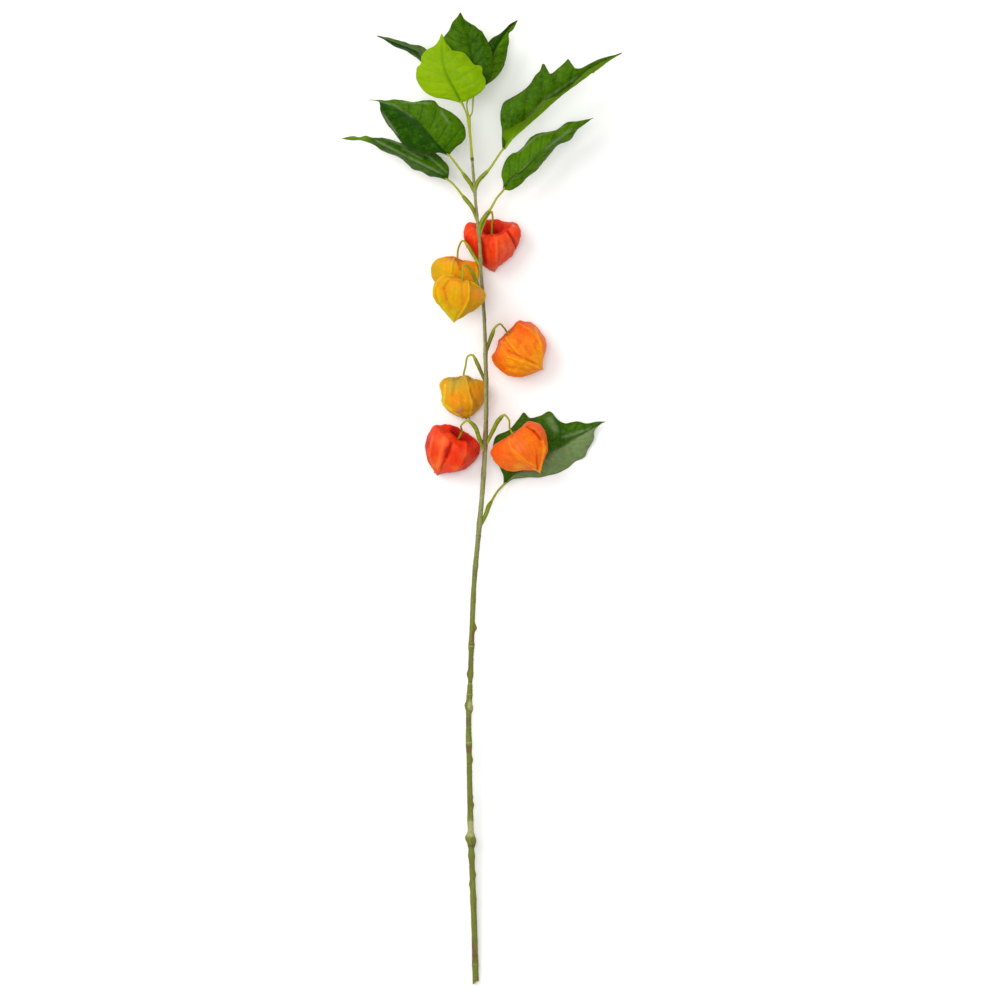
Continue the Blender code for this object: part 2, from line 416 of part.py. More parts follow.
def make_stem():
    """The woody stem: a knotted tube with buds, cut off at a slant."""
    first, last = STEM_LINE[0][1], STEM_LINE[-1][1]
    marks = [place for place, _, _ in STEM_RINGS] + [place for place, _, _, _ in STEM_BUDS]
    wanted = [mark + side for mark in marks for side in (-RING_STEP, 0, RING_STEP)]
    wanted += list(range(first, last, STATION_STEP))
    stations = [first]
    for y in sorted(wanted):
        if y - stations[-1] >= RING_STEP and last - y >= RING_STEP:
            stations.append(y)
    stations.append(last)
    points = []
    for y in stations:
        point = smooth_line(STEM_LINE, (y - first) / (last - first))
        points.append(Vector((point.x, point.y, point.z)) * MM)
    radii = [stem_radius(point.y / MM) * MM for point in points]
    stem = tube("main_stem", points, radii, "woody_stem")
    for vertex in stem.data.vertices:
        centre = smooth_line(STEM_LINE, (vertex.co.y / MM - first) / (last - first)) * MM
        outward = Vector((vertex.co.x - centre.x, 0, vertex.co.z - centre.z))
        if outward.length > 0.1 * MM:
            for place, turn, height, reach in STEM_BUDS:
                way = Vector((math.cos(math.radians(turn)), 0, math.sin(math.radians(turn))))
                facing = max(0.0, outward.normalized().dot(way)) ** 3
                near = math.exp(-((vertex.co.y / MM - place) / reach) ** 2)
                vertex.co += way * height * MM * facing * near
    slant = Vector((-math.sin(CUT_SLANT), -math.cos(CUT_SLANT), 0))
    shape = bmesh.new()
    shape.from_mesh(stem.data)
    cut = bmesh.ops.bisect_plane(shape, geom=shape.verts[:] + shape.edges[:] + shape.faces[:],
                                 plane_co=Vector(CUT_END) * MM, plane_no=slant, clear_outer=True)
    rim = [item for item in cut["geom_cut"] if isinstance(item, bmesh.types.BMEdge)]
    bmesh.ops.contextual_create(shape, geom=rim)
    bmesh.ops.recalc_face_normals(shape, faces=shape.faces)
    shape.to_mesh(stem.data)
    shape.free()
    return stem


def make_stem_clearance(stem):
    """A cutter one gap larger than the stem, so that stalks can be trimmed to its surface."""
    mesh = stem.data.copy()
    mesh.name = "stem_clearance"
    normals = [vertex.normal.copy() for vertex in mesh.vertices]
    for vertex, normal in zip(mesh.vertices, normals):
        vertex.co += normal * STEM_GAP
    cutter = bpy.data.objects.new("stem_clearance", mesh)
    cutters.objects.link(cutter)
    cutter.parent = frame
    cutter.hide_render = True
    cutter.display_type = "WIRE"
    return cutter


def make_stalk(name, route, ending, cutter):
    """A leaf's or lantern's stalk: a smooth tube along a route, trimmed where it leaves the stem."""
    points = [Vector(point[:3]) * MM for point in route] + ending
    radii = [point[3] * MM for point in route]
    radii += [radii[-1]] * len(ending)
    count = max(8, 2 * len(points))
    shares = [i / (count - 1) for i in range(count)]
    line = [smooth_line(points, share) for share in shares]
    lengths = [0.0]
    for a, b in zip(points, points[1:]):
        lengths.append(lengths[-1] + (b - a).length)
    stops = [(length / lengths[-1], radius) for length, radius in zip(lengths, radii)]
    stalk = tube(name, line, [between(stops, share) for share in shares], "green_stalk")
    if cutter is not None:
        trim = stalk.modifiers.new("trim_to_stem", "BOOLEAN")
        trim.operation = "DIFFERENCE"
        trim.solver = "EXACT"
        trim.object = cutter
    return stalk


def blade_point(leaf, along, across):
    """A point of a leaf blade: along runs 0 to 1 from base to tip, across -1 (right) to 1 (left)."""
    middle = smooth_line(leaf["midrib"], along)
    after = smooth_line(leaf["midrib"], min(along + MIDRIB_STEP, 1.0))
    ahead = after - smooth_line(leaf["midrib"], max(along - MIDRIB_STEP, 0.0))
    side = Vector((-ahead.y, ahead.x, 0)).normalized()
    name = "left" if across >= 0 else "right"
    edge = smooth_line([(x, y, 0) for x, y in leaf[name]], along)
    edge.z = middle.z + even_steps(leaf[name + "_lift"], along)
    share = abs(across)
    span = edge - middle
    face = ahead.cross(span) if across >= 0 else span.cross(ahead)
    bulge = face.normalized() * LEAF_BULGE * span.length * 4 * share * (1 - share)
    neck = (LEAF_NECK * (1 - along) + LEAF_POINT * along) / MM
    return (middle + span * share + bulge + side * neck * across) * MM


def make_leaf(name, leaf):
    """A leaf blade: a grid bent between its midrib and its two edges, then thickened."""
    mesh = bpy.data.meshes.new(name)
    shape = bmesh.new()
    rows = TOOTHED_ROWS if name in TOOTHED_LEAVES else LEAF_ROWS
    bmesh.ops.create_grid(shape, x_segments=rows, y_segments=LEAF_COLUMNS, size=1)
    for vertex in shape.verts:
        vertex.co = blade_point(leaf, (vertex.co.x + 1) / 2, vertex.co.y)
    shape.to_mesh(mesh)
    shape.free()
    mesh.shade_smooth()
    material = "lime_leaf" if name == "top_lime_leaf" else "dark_leaf"
    blade = add_object(name, mesh, Vector(leaf["base"]) * MM, material)
    thicken = blade.modifiers.new("thickness", "SOLIDIFY")
    thicken.thickness = LEAF_THICKNESS
    thicken.offset = 0
    return blade


def husk_frame(husk):
    """A lantern's own directions: out of its mouth, up as far as that allows, and across."""
    axis = Vector(husk["mouth"]).normalized()
    up = (Vector((0, 0, 1)) - axis * axis.z).normalized()
    return axis, up, axis.cross(up)


def husk_profile(husk, down):
    """How far down its length and out from its axis a lantern is, a share of the way from mouth to tip."""
    funnel, rim = husk["funnel"], husk["rim"]
    points = [(funnel, 0, 0), (FUNNEL_THROAT[0] * funnel, FUNNEL_THROAT[1] * rim, 0)]
    points += [(fall * husk["slope"], rim + (1 - rim) * out, 0) for fall, out in HUSK_SHOULDER]
    points += [(fall, out, 0) for fall, out in HUSK_FLANK]
    fall, out, _ = smooth_line(points, down)
    return fall, max(out, 0.0) ** husk["taper"]


def tip_lean(husk):
    """How far a lantern's tip leans across, so that it points at the first point of its outline."""
    axis, _, side = husk_frame(husk)
    tip = Vector(husk["outline"][0])
    return husk["length"] / 2 * axis.xy.cross(tip) / side.xy.cross(tip)


def plain_husk_point(husk, fall, out, rib, share):
    """A point of a lantern about its middle, in millimetres: a share of the way from one rib to the next."""
    axis, up, side = husk_frame(husk)
    start = husk["ribs"][rib]
    width = (husk["ribs"] + (husk["ribs"][0] + 360,))[rib + 1] - start
    turn = math.radians(start + share * width + husk["swirl"] * fall)
    sink = HUSK_CREASE * (width * HUSK_RIBS / 360) ** WIDE_SIDE_POWER
    sink *= math.sin(math.pi * share) ** CREASE_POWER
    girth = 1 - (1 - husk["under"]) * max(-math.cos(turn), 0)
    reach = husk["radius"] * out * girth * (1 - sink)
    point = axis * husk["length"] * (0.5 - fall) + (up * math.cos(turn) + side * math.sin(turn)) * reach
    point += side * tip_lean(husk) * fall ** 2
    point.z *= husk["depth"]
    return point


def outline_scale(husk):
    """For each direction, how far the outline and the plain lantern reach from its middle."""
    drawn = [Vector((x, y, 0)) for x, y in husk["outline"] + husk["outline"][:1]]
    wanted, plain = [0.0] * OUTLINE_WAYS, [0.0] * OUTLINE_WAYS
    for i in range(4 * OUTLINE_WAYS):
        point = smooth_line(drawn, i / (4 * OUTLINE_WAYS))
        way = compass(point)
        wanted[way] = max(wanted[way], point.length)
    for i in range(OUTLINE_ROWS):
        fall, out = husk_profile(husk, i / (OUTLINE_ROWS - 1))
        for rib in range(HUSK_RIBS):
            for step in range(OUTLINE_STEPS):
                point = plain_husk_point(husk, fall, out, rib, step / OUTLINE_STEPS)
                way = compass(point)
                plain[way] = max(plain[way], point.xy.length)
    return wanted, plain


def compass(point):
    """The number of a point's direction from the middle, seen from above."""
    return int((math.atan2(point.y, point.x) / math.tau + 0.5) * OUTLINE_WAYS) % OUTLINE_WAYS


def fit_outline(point, wanted, plain):
    """Move a lantern's point level with the surface, so that the whole fills its outline."""
    place = (math.atan2(point.y, point.x) / math.tau + 0.5) * OUTLINE_WAYS - 0.5
    before = math.floor(place)
    onward = place - before
    i, j = before % OUTLINE_WAYS, (before + 1) % OUTLINE_WAYS
    limits = [reach[i] * (1 - onward) + reach[j] * onward for reach in (wanted, plain)]
    stretch = 1 + (limits[0] / limits[1] - 1) * point.xy.length / limits[1]
    return Vector((point.x * stretch, point.y * stretch, point.z)) * MM


def make_lantern(name, husk):
    """A lantern: a sphere drawn out into a ribbed, pointed husk. Gives the place of its funnel's floor."""
    mesh = bpy.data.meshes.new(name)
    shape = bmesh.new()
    bmesh.ops.create_uvsphere(shape, u_segments=HUSK_MERIDIANS, v_segments=HUSK_RINGS, radius=1)
    wanted, plain = outline_scale(husk)
    for vertex in shape.verts:
        fall, out = husk_profile(husk, math.acos(max(-1.0, min(1.0, vertex.co.z))) / math.pi)
        round_mouth = math.atan2(vertex.co.y, vertex.co.x) / math.tau * HUSK_MERIDIANS
        rib, step = divmod(round(round_mouth) % HUSK_MERIDIANS, HUSK_MERIDIANS // HUSK_RIBS)
        share = step * HUSK_RIBS / HUSK_MERIDIANS
        vertex.co = fit_outline(plain_husk_point(husk, fall, out, rib, share), wanted, plain)
    shape.to_mesh(mesh)
    shape.free()
    mesh.shade_smooth()
    place = Vector(husk["middle"]) * MM
    if husk["rests"]:
        place.z = -min(vertex.co.z for vertex in mesh.vertices)
    colour = next(word for word in ("red", "orange", "yellow", "amber") if word in name)
    material = {"red": "red_husk", "orange": "orange_husk"}.get(colour, "yellow_husk")
    add_object(name, mesh, place, material)
    floor = plain_husk_point(husk, husk["funnel"], 0.0, 0, 0.0)
    return place + fit_outline(floor, wanted, plain)


def mouth_ending(husk, floor):
    """The last two points of a lantern's stalk: in its mouth, and just clear of the funnel's floor."""
    outward = husk_frame(husk)[0]
    return [floor + outward * husk["funnel"] * husk["length"] * MM, floor + outward * husk["seat"] * MM]


def blade_ending(leaf):
    """The last point of a leaf's stalk: one gap short of the blade."""
    base = Vector(leaf["base"])
    ahead = smooth_line(leaf["midrib"], MIDRIB_STEP)
    return [base * MM - ahead.normalized() * BLADE_SEAT]


def centre_on_origin():
    """Move the frame so that the whole model is centred on X and Y."""
    bpy.context.view_layer.update()
    depsgraph = bpy.context.evaluated_depsgraph_get()
    corners = []
    for item in parts.objects:
        solid = item.evaluated_get(depsgraph)
        corners += [solid.matrix_world @ vertex.co for vertex in solid.data.vertices]
    for axis in (0, 1):
        values = [corner[axis] for corner in corners]
        frame.location[axis] -= (min(values) + max(values)) / 2


clear_scene()
parts = make_collection("chinese_lantern_stem")
cutters = make_collection("cutters")
frame = bpy.data.objects.new("stem_frame", None)
bpy.context.scene.collection.objects.link(frame)

main_stem = make_stem()
clearance = make_stem_clearance(main_stem)
shoot_points = [Vector(point) * MM for point in SHOOT_LINE]
tube("shoot_tip", shoot_points, [radius * MM for radius in SHOOT_RADII], "green_stalk")
for leaf_name, leaf in LEAVES.items():
    make_leaf(leaf_name, leaf)
    cutter = None if leaf_name.startswith("top_") else clearance
    make_stalk(leaf_name + "_stalk", LEAF_STALKS[leaf_name], blade_ending(leaf), cutter)
for lantern_name, husk in LANTERNS.items():
    floor = make_lantern(lantern_name, husk)
    make_stalk(lantern_name + "_stalk", LANTERN_STALKS[lantern_name], mouth_ending(husk, floor), clearance)
centre_on_origin()
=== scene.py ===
"""The looks of a cut Chinese lantern stem, laid on a pale table and seen from straight above."""

import math

import bmesh
import bpy
import numpy as np
from mathutils import Matrix, Vector


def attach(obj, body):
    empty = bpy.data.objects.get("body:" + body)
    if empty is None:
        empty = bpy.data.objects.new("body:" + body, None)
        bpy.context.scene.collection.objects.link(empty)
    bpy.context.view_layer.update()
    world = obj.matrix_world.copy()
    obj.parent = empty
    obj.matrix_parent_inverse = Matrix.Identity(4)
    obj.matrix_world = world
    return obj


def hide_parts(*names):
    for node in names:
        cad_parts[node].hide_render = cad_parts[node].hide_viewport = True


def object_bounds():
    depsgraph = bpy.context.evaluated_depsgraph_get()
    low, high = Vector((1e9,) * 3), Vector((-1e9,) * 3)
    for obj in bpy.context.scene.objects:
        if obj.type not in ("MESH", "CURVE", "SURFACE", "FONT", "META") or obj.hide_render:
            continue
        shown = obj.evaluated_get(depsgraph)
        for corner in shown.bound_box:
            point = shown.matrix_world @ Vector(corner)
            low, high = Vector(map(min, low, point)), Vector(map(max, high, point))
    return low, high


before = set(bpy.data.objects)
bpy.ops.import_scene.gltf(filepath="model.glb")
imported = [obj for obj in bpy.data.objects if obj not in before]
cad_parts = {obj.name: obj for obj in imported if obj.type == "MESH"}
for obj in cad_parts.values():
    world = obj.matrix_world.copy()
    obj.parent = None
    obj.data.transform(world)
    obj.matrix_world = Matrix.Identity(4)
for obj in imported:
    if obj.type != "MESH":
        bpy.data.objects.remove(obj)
solid_low, solid_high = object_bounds()


# ---- The table, the light and the camera ------------------------------------------------------
# The stem lies on a smooth pale table in a white room. One large soft panel stands high on the left
# and another hangs far overhead, above the camera. The leafy end is at the top of the picture.

MM = 0.001
TABLE_SIDE = 7.0
TABLE_WHITES = (0.955, 0.955, 0.95), (0.975, 0.975, 0.97)
TABLE_CLOUD = 400                       # size of the faint clouds in the table's paint
PICTURE_WIDTH = 900 * MM                # width of the view at the height of the stem
CAMERA_HEIGHT = 12.0
CAMERA_ASIDE = Vector((16.2, -0.6, 0)) * MM     # how far off the stem's middle the camera hangs
FILM_WIDTH = 36
PANELS = {                              # place, side, power and colour of each light panel
    "tall_left_panel": ((-1.7, 1.3, 2.5), 1.8, 50, (1.0, 0.985, 0.965)),
    "overhead_panel": ((-0.8, 0.6, 13.0), 4.8, 620, (1.0, 1.0, 1.0)),
}
ROOM_GLOW = 0.58


class Wire:
    """A socket in a material's nodes. Sums and products of these add Math nodes."""

    def __init__(self, tree, socket=None):
        self.tree = tree
        self.socket = socket

    def node(self, kind, settings=None, values=None, out=0):
        """Add a node: its settings come first, then the values or links of its sockets."""
        made = self.tree.nodes.new("ShaderNode" + kind)
        for name, value in (settings or {}).items():
            setattr(made, name, value)
        for key, value in (values or {}).items():
            if isinstance(value, Wire):
                self.tree.links.new(value.socket, made.inputs[key])
            elif made.inputs[key].type == "RGBA":
                made.inputs[key].default_value = (*value, 1)
            else:
                made.inputs[key].default_value = value
        return Wire(self.tree, made.outputs[out])

    def math(self, operation, left, right=0.0):
        return self.node("Math", {"operation": operation}, {0: left, 1: right})

    def __add__(self, other):
        return self.math("ADD", self, other)

    def __sub__(self, other):
        return self.math("SUBTRACT", self, other)

    def __rsub__(self, other):
        return self.math("SUBTRACT", other, self)

    def __mul__(self, other):
        return self.math("MULTIPLY", self, other)

    def __pow__(self, other):
        return self.math("POWER", self, other)

    __radd__ = __add__
    __rmul__ = __mul__

    def clear(self):
        """This value kept between 0 and 1."""
        return self.node("Clamp", {}, {0: self})

    def between(self, low, high):
        """0 where this value is at the low mark, 1 at the high one, and smooth in between."""
        marks = {0: self, 1: low, 2: high}
        return self.node("MapRange", {"interpolation_type": "SMOOTHSTEP"}, marks)

    def mix(self, bare, full):
        """The bare colour where this value is 0 and the full one where it is 1."""
        return self.node("Mix", {"data_type": "RGBA"}, {0: self, 6: bare, 7: full}, out=2)

    def mark(self, name):
        """A value that the mesh carries at each point."""
        return self.node("Attribute", {"attribute_name": name}, out=2)

    def place(self, x=1.0, y=1.0, z=1.0):
        """The point in millimetres on the object, stretched along each axis."""
        spot = self.node("TexCoord", out=3)
        stretch = {0: spot, 1: (x / MM, y / MM, z / MM)}
        return self.node("VectorMath", {"operation": "MULTIPLY"}, stretch)

    def noise(self, where, grain, detail=3.0, rough=0.55):
        """Cloudy noise about 0.5, with blots of the grain's size in millimetres."""
        marks = {0: where, "Scale": 1 / grain, "Detail": detail, "Roughness": rough}
        return self.node("TexNoise", {}, marks)

    def cells(self, where, size):
        """Distance to the borders of cells of a size in millimetres: 0 on a border."""
        borders = {"feature": "DISTANCE_TO_EDGE"}
        return self.node("TexVoronoi", borders, {0: where, "Scale": 1 / size}, out="Distance")


def paint(colour, *coats):
    """Lay coats over a colour in turn: each is how far it covers, and its own colour."""
    for cover, coat in coats:
        colour = cover.mix(colour, coat)
    return colour


def new_finish(name):
    """A material with its Principled shader, and a wire in its nodes to draw with."""
    material = bpy.data.materials.new(name)
    material.use_nodes = True
    shader = material.node_tree.nodes["Principled BSDF"]
    return material, shader, Wire(material.node_tree)


def dress(shader, colour, roughness, height=None, depth=0.0, shine=0.15):
    """Plug a finish into its shader: colour, roughness, and relief of a depth in millimetres."""
    pen = Wire(shader.id_data)
    for name, value in (("Base Color", colour), ("Roughness", roughness)):
        if isinstance(value, Wire):
            pen.tree.links.new(value.socket, shader.inputs[name])
        else:
            shader.inputs[name].default_value = value
    shader.inputs["Specular IOR Level"].default_value = shine
    if height is not None:
        relief = pen.node("Bump", {}, {"Strength": 1.0, "Distance": depth * MM, "Height": height})
        pen.tree.links.new(relief.socket, shader.inputs["Normal"])


middle = (solid_low + solid_high) / 2
bpy.ops.mesh.primitive_plane_add(size=TABLE_SIDE, location=(middle.x, middle.y, solid_low.z))
table = bpy.context.object
table.name = "pale_table"
table_paint, table_shader, pen = new_finish("pale_table_paint")
cloud = pen.noise(pen.place(), TABLE_CLOUD)
dress(table_shader, cloud.mix(*TABLE_WHITES), 0.55 + 0.1 * cloud)
table.data.materials.append(table_paint)

for name, (spot, side, power, colour) in PANELS.items():
    panel = bpy.data.lights.new(name, "AREA")
    panel.size = side
    panel.energy = power
    panel.color = colour
    lamp = bpy.data.objects.new(name, panel)
    lamp.location = spot
    lamp.rotation_euler = (middle - lamp.location).to_track_quat("-Z", "Y").to_euler()
    bpy.context.scene.collection.objects.link(lamp)

room = bpy.data.worlds.new("white_room")
room.use_nodes = True
room.node_tree.nodes["Background"].inputs["Color"].default_value = (1, 1, 1, 1)
room.node_tree.nodes["Background"].inputs["Strength"].default_value = ROOM_GLOW
bpy.context.scene.world = room
bpy.context.scene.view_settings.view_transform = "Standard"

lens = bpy.data.cameras.new("overhead_camera")
lens.sensor_width = FILM_WIDTH
lens.lens = FILM_WIDTH * CAMERA_HEIGHT / PICTURE_WIDTH
lens.clip_end = 2 * CAMERA_HEIGHT
camera = bpy.data.objects.new("overhead_camera", lens)
camera.location = middle + CAMERA_ASIDE + Vector((0, 0, CAMERA_HEIGHT))
bpy.context.scene.collection.objects.link(camera)
bpy.context.scene.camera = camera


# ---- The woody stem and the green shoot -------------------------------------------------------
# A year's growth, woody at the foot and still green above, with a swollen ring and a bud or scar
# wherever a leaf stood. It is cut off at a slant, and the shoot grows on from the last brown ring.

DRAWN_MIDDLE = Vector((0.18, -0.30, 0)) * MM    # the middle of the whole stem, in the numbers used below
drawing_origin = Vector((middle.x, middle.y, solid_low.z)) - DRAWN_MIDDLE
STEM_LINE = [
    (-5.4, -440, 2.6), (-7.7, -361, 7.8), (-9.8, -307, 11.2), (-11.3, -240, 15.4),
    (-11.8, -195, 18.3), (-10.3, -160, 20.5), (-8.8, -116, 23.3), (-6.9, -75, 25.9),
    (-3.1, -33, 28.5), (0.6, 8, 31.1), (3.2, 53, 34.0), (4.0, 92, 36.6), (3.4, 125, 39.2),
    (2.3, 161, 41.8), (-0.2, 197, 44.6), (-2.5, 237, 47.6), (-5.7, 269, 50.0), (-8.8, 307, 52.4),
]
STEM_RADIUS = [                         # distance along, and radius
    (-440, 2.7), (-250, 2.45), (-90, 2.3), (50, 2.1), (150, 1.65), (200, 1.4), (307, 1.25),
]
STEM_RINGS = [                          # distance along, swelling or pinch, and half length
    (-420, 0.25, 4), (-361, 0.3, 6), (-322, 0.6, 4), (-307, 1.7, 5), (-289, 0.4, 6), (-219, 0.5, 7),
    (-187, 0.6, 5), (-177, 0.35, 3), (-165, -0.4, 3), (-158, 0.4, 3), (-132, 0.6, 4), (-91, 0.2, 6),
    (-60, 0.3, 3), (-33, 0.2, 3), (-22, 0.5, 6), (20, 0.2, 5), (53, 0.5, 6), (107, 0.4, 5),
    (131, 0.4, 5), (188, 0.45, 4), (215, 0.4, 4), (242, 0.8, 4), (279, 0.5, 4), (306, 0.25, 2),
]
STEM_BUDS = [                           # distance along, direction round, height and half length
    (-339, 0, 0.9, 2.5), (-348, 180, 0.8, 2.5), (-305, 180, 1.2, 3.5), (-310, 0, 1.0, 3.5),
    (-276, 0, 1.3, 3.0), (-269, 10, 0.8, 2.0), (-235, 0, 0.9, 3.0), (-186, 180, 1.1, 3.0),
    (-189, 0, 1.0, 3.0), (-158, 180, 0.8, 2.5), (-116, 0, 2.2, 3.0), (-66, 120, 0.7, 2.5),
]
LEAF_RINGS = [                          # distance along, half length, and dark (1) to pale (-1)
    (-420, 0.8, -0.4), (-412, 1.2, 0.4), (-313, 1.2, 0.6), (-219.5, 1.0, -0.6), (-223, 1.0, 0.5),
    (-166.5, 0.7, -0.6), (-164.5, 0.8, 0.6), (-176, 0.6, -0.5), (-132.5, 0.6, -0.7),
    (-130.8, 0.6, 0.5), (-60, 0.6, -0.4), (-33, 0.6, 0.45), (53, 0.8, 0.5), (131, 0.7, 0.4),
    (188, 0.7, 0.4), (306, 2.0, 1.0),
]
# Browner and paler patches: distance along, direction round with 90 on top, half length, and brown (1) to
# pale (-1).
STEM_PATCHES = [
    (165, 10, 26, 1.3), (120, 0, 30, 1.2), (70, 15, 22, 0.9), (55, 80, 9, 1.1),
    (34, 170, 18, 1.0), (188, 90, 9, 0.7), (262, 160, 8, 0.8), (240, 180, 14, 0.5),
    (-124, 30, 9, 0.9), (-226, 100, 4, 1.2), (-150, 170, 16, 0.6), (-186, 60, 5, -1.0),
    (-198, 100, 7, 0.5), (-300, 95, 5, -1.5), (-292, 60, 4, -0.8), (-312, 90, 3, 0.8),
    (-340, 80, 9, 0.4), (-410, 150, 9, 1.5), (-430, 90, 8, -0.3), (-60, 100, 12, 0.3),
    (0, 90, 14, -0.5), (140, 170, 16, -0.8), (90, 180, 20, -0.6), (-268, 0, 8, 0.5),
]
BUD_FOCUS = 5                           # how narrowly a bud keeps to its side of the stem
BARK_LUMPS = (0.10, 2.2)                # height and size of the bark's long lumps,
BARK_GRAIN = (0.07, 1.8)                # and of its grain
ROUGH_STRETCH = (-190, 42, 1.6)         # middle and half length of a knobbly stretch, and how knobbly
LEAF_RING_HEIGHT = 0.11                 # each leaf ring has a groove of that depth beyond it,
LEAF_RING_GROOVE = 2.2                  # that many half lengths away
PATCH_WRAP = 0.15                       # how much further than halfway round a patch reaches
STEM_FOOT = -436.5
CUT_SLOPE = math.tan(math.radians(32))
CUT_LEAN = 0.45                         # how far the cut also faces up
CUT_BLEND = 9.0                         # length over which the rings turn into the slanted cut
CUT_SPACING = 0.02                      # what is left of the steps between the rings below the foot
STEM_SIDES = 28
STEM_STEP = 0.9
CAP_STEPS = (0.35, 0.7, 1.0)            # how far in to its middle each ring over a tube's end is drawn
SHOOT_LINE = [(-8.75, 305.6, 52.3), (-9.9, 320, 53.3), (-11.0, 332, 54.2), (-11.8, 341, 54.9),
              (-12.0, 345.5, 55.1)]
SHOOT_RADII = [1.35, 1.1, 1.25, 1.8, 1.5]
SHOOT_GRAIN = (0.06, 1.8)
SHOOT_SIDES = 20
SHOOT_ROWS = 50
SAGE, OLIVE, MOSS = (0.235, 0.255, 0.095), (0.145, 0.180, 0.020), (0.10, 0.13, 0.028)
BARK_BROWN, PATCH_BROWN = (0.14, 0.085, 0.022), (0.155, 0.075, 0.032)
LICHEN, PALE_BARK = (0.33, 0.34, 0.15), (0.40, 0.40, 0.18)
RING_BROWN, PITH = (0.055, 0.032, 0.016), (0.55, 0.56, 0.22)


def smooth_line(points, shares):
    """Points at shares of the way, by chord length, along the smooth line through some points."""
    points = np.array(points, float)
    steps = np.linalg.norm(np.diff(points, axis=0), axis=1)
    slopes = np.diff(points, axis=0) / steps[:, None]
    before, after = steps[:-1, None], steps[1:, None]
    inner = (slopes[:-1] * after + slopes[1:] * before) / (before + after)
    bends = np.vstack([slopes[:1], inner, slopes[-1:]])
    marks = np.concatenate([[0], np.cumsum(steps)])
    reach = np.clip(shares, 0, 1) * marks[-1]
    i = np.clip(np.searchsorted(marks, reach, side="right") - 1, 0, len(steps) - 1)
    t = ((reach - marks[i]) / steps[i])[..., None]
    step = steps[i][..., None]
    start = points[i] * (2 * t**3 - 3 * t**2 + 1) + bends[i] * step * (t**3 - 2 * t**2 + t)
    return start + points[i + 1] * (3 * t**2 - 2 * t**3) + bends[i + 1] * step * (t**3 - t**2)


def hump(distance, half_width):
    """A smooth bump: 1 at no distance, and nearly 0 beyond twice its half width."""
    return np.exp(-(distance / half_width) ** 2)


def uneven(points, size, seed):
    """Gentle unevenness, about -1 to 1, with humps of a size in millimetres."""
    draw = np.random.default_rng(seed)
    total = np.zeros(points.shape[:-1])
    for _ in range(10):
        way = draw.normal(size=3)
        way *= 2 * math.pi * draw.uniform(0.6, 1.5) / size / np.linalg.norm(way)
        total += np.sin(points @ way + draw.uniform(0, 2 * math.pi))
    return total / 4


def turns(sides):
    """The directions of a tube's sides, in radians round it."""
    return np.arange(sides) * 2 * math.pi / sides


def rings_round(line, radii, sides):
    """Rings of points round a line, each square to it, with a radius for every point of a ring."""
    ahead = np.gradient(line, axis=0)
    ahead /= np.linalg.norm(ahead, axis=1)[:, None]
    across = np.cross(ahead, np.array([0, 0, 1.0]))
    across /= np.linalg.norm(across, axis=1)[:, None]
    over = np.cross(across, ahead)
    turn = turns(sides)[None, :, None]
    spokes = across[:, None] * np.cos(turn) + over[:, None] * np.sin(turn)
    return line[:, None] + spokes * radii[..., None]


def skin(name, patches):
    """One mesh of closed tubes: each patch is its rings of points in millimetres and its marks."""
    mesh = bpy.data.meshes.new(name)
    points, faces, marks = [], [], {key: [] for _, given in patches for key in given}
    for rings, given in patches:
        rows, columns = rings.shape[:2]
        first = sum(len(block) for block in points)
        near = first + np.arange(rows * columns).reshape(rows, columns)
        beside = np.roll(near, -1, axis=1)
        faces.append(np.stack([near[:-1], beside[:-1], beside[1:], near[1:]], axis=-1).reshape(-1, 4))
        points.append(rings.reshape(-1, 3))
        for key, values in marks.items():
            own = given.get(key, 0.0)
            values.append(np.broadcast_to(own, (rows, columns)).reshape(-1))
    mesh.from_pydata((np.concatenate(points) * MM).tolist(), [], np.concatenate(faces).tolist())
    for key, values in marks.items():
        mesh.attributes.new(key, "FLOAT", "POINT").data.foreach_set("value", np.concatenate(values))
    shape = bmesh.new()
    shape.from_mesh(mesh)
    bmesh.ops.remove_doubles(shape, verts=shape.verts, dist=0.002 * MM)
    bmesh.ops.recalc_face_normals(shape, faces=shape.faces)
    shape.to_mesh(mesh)
    shape.free()
    mesh.shade_smooth()
    return mesh


def seat(name, mesh, node, material):
    """Put a piece where its solid lies, in place of it."""
    mesh.transform(Matrix.Translation(drawing_origin))
    piece = bpy.data.objects.new(name, mesh)
    bpy.context.scene.collection.objects.link(piece)
    mesh.materials.append(material)
    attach(piece, "root")
    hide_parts(node)
    return piece


def drawn_in(rim):
    """Rings that close a tube, from its last ring in to a point at its middle."""
    return [rim + (rim.mean(axis=0) - rim) * share for share in CAP_STEPS]


def cap(rings, marks):
    """Close a tube at both ends, and carry its marks on over them."""
    closed = np.concatenate([drawn_in(rings[0])[::-1], rings, drawn_in(rings[-1])])
    over = ((len(CAP_STEPS), len(CAP_STEPS)), (0, 0))
    return closed, {key: np.pad(np.broadcast_to(value, rings.shape[:2]), over, "edge")
                    for key, value in marks.items()}


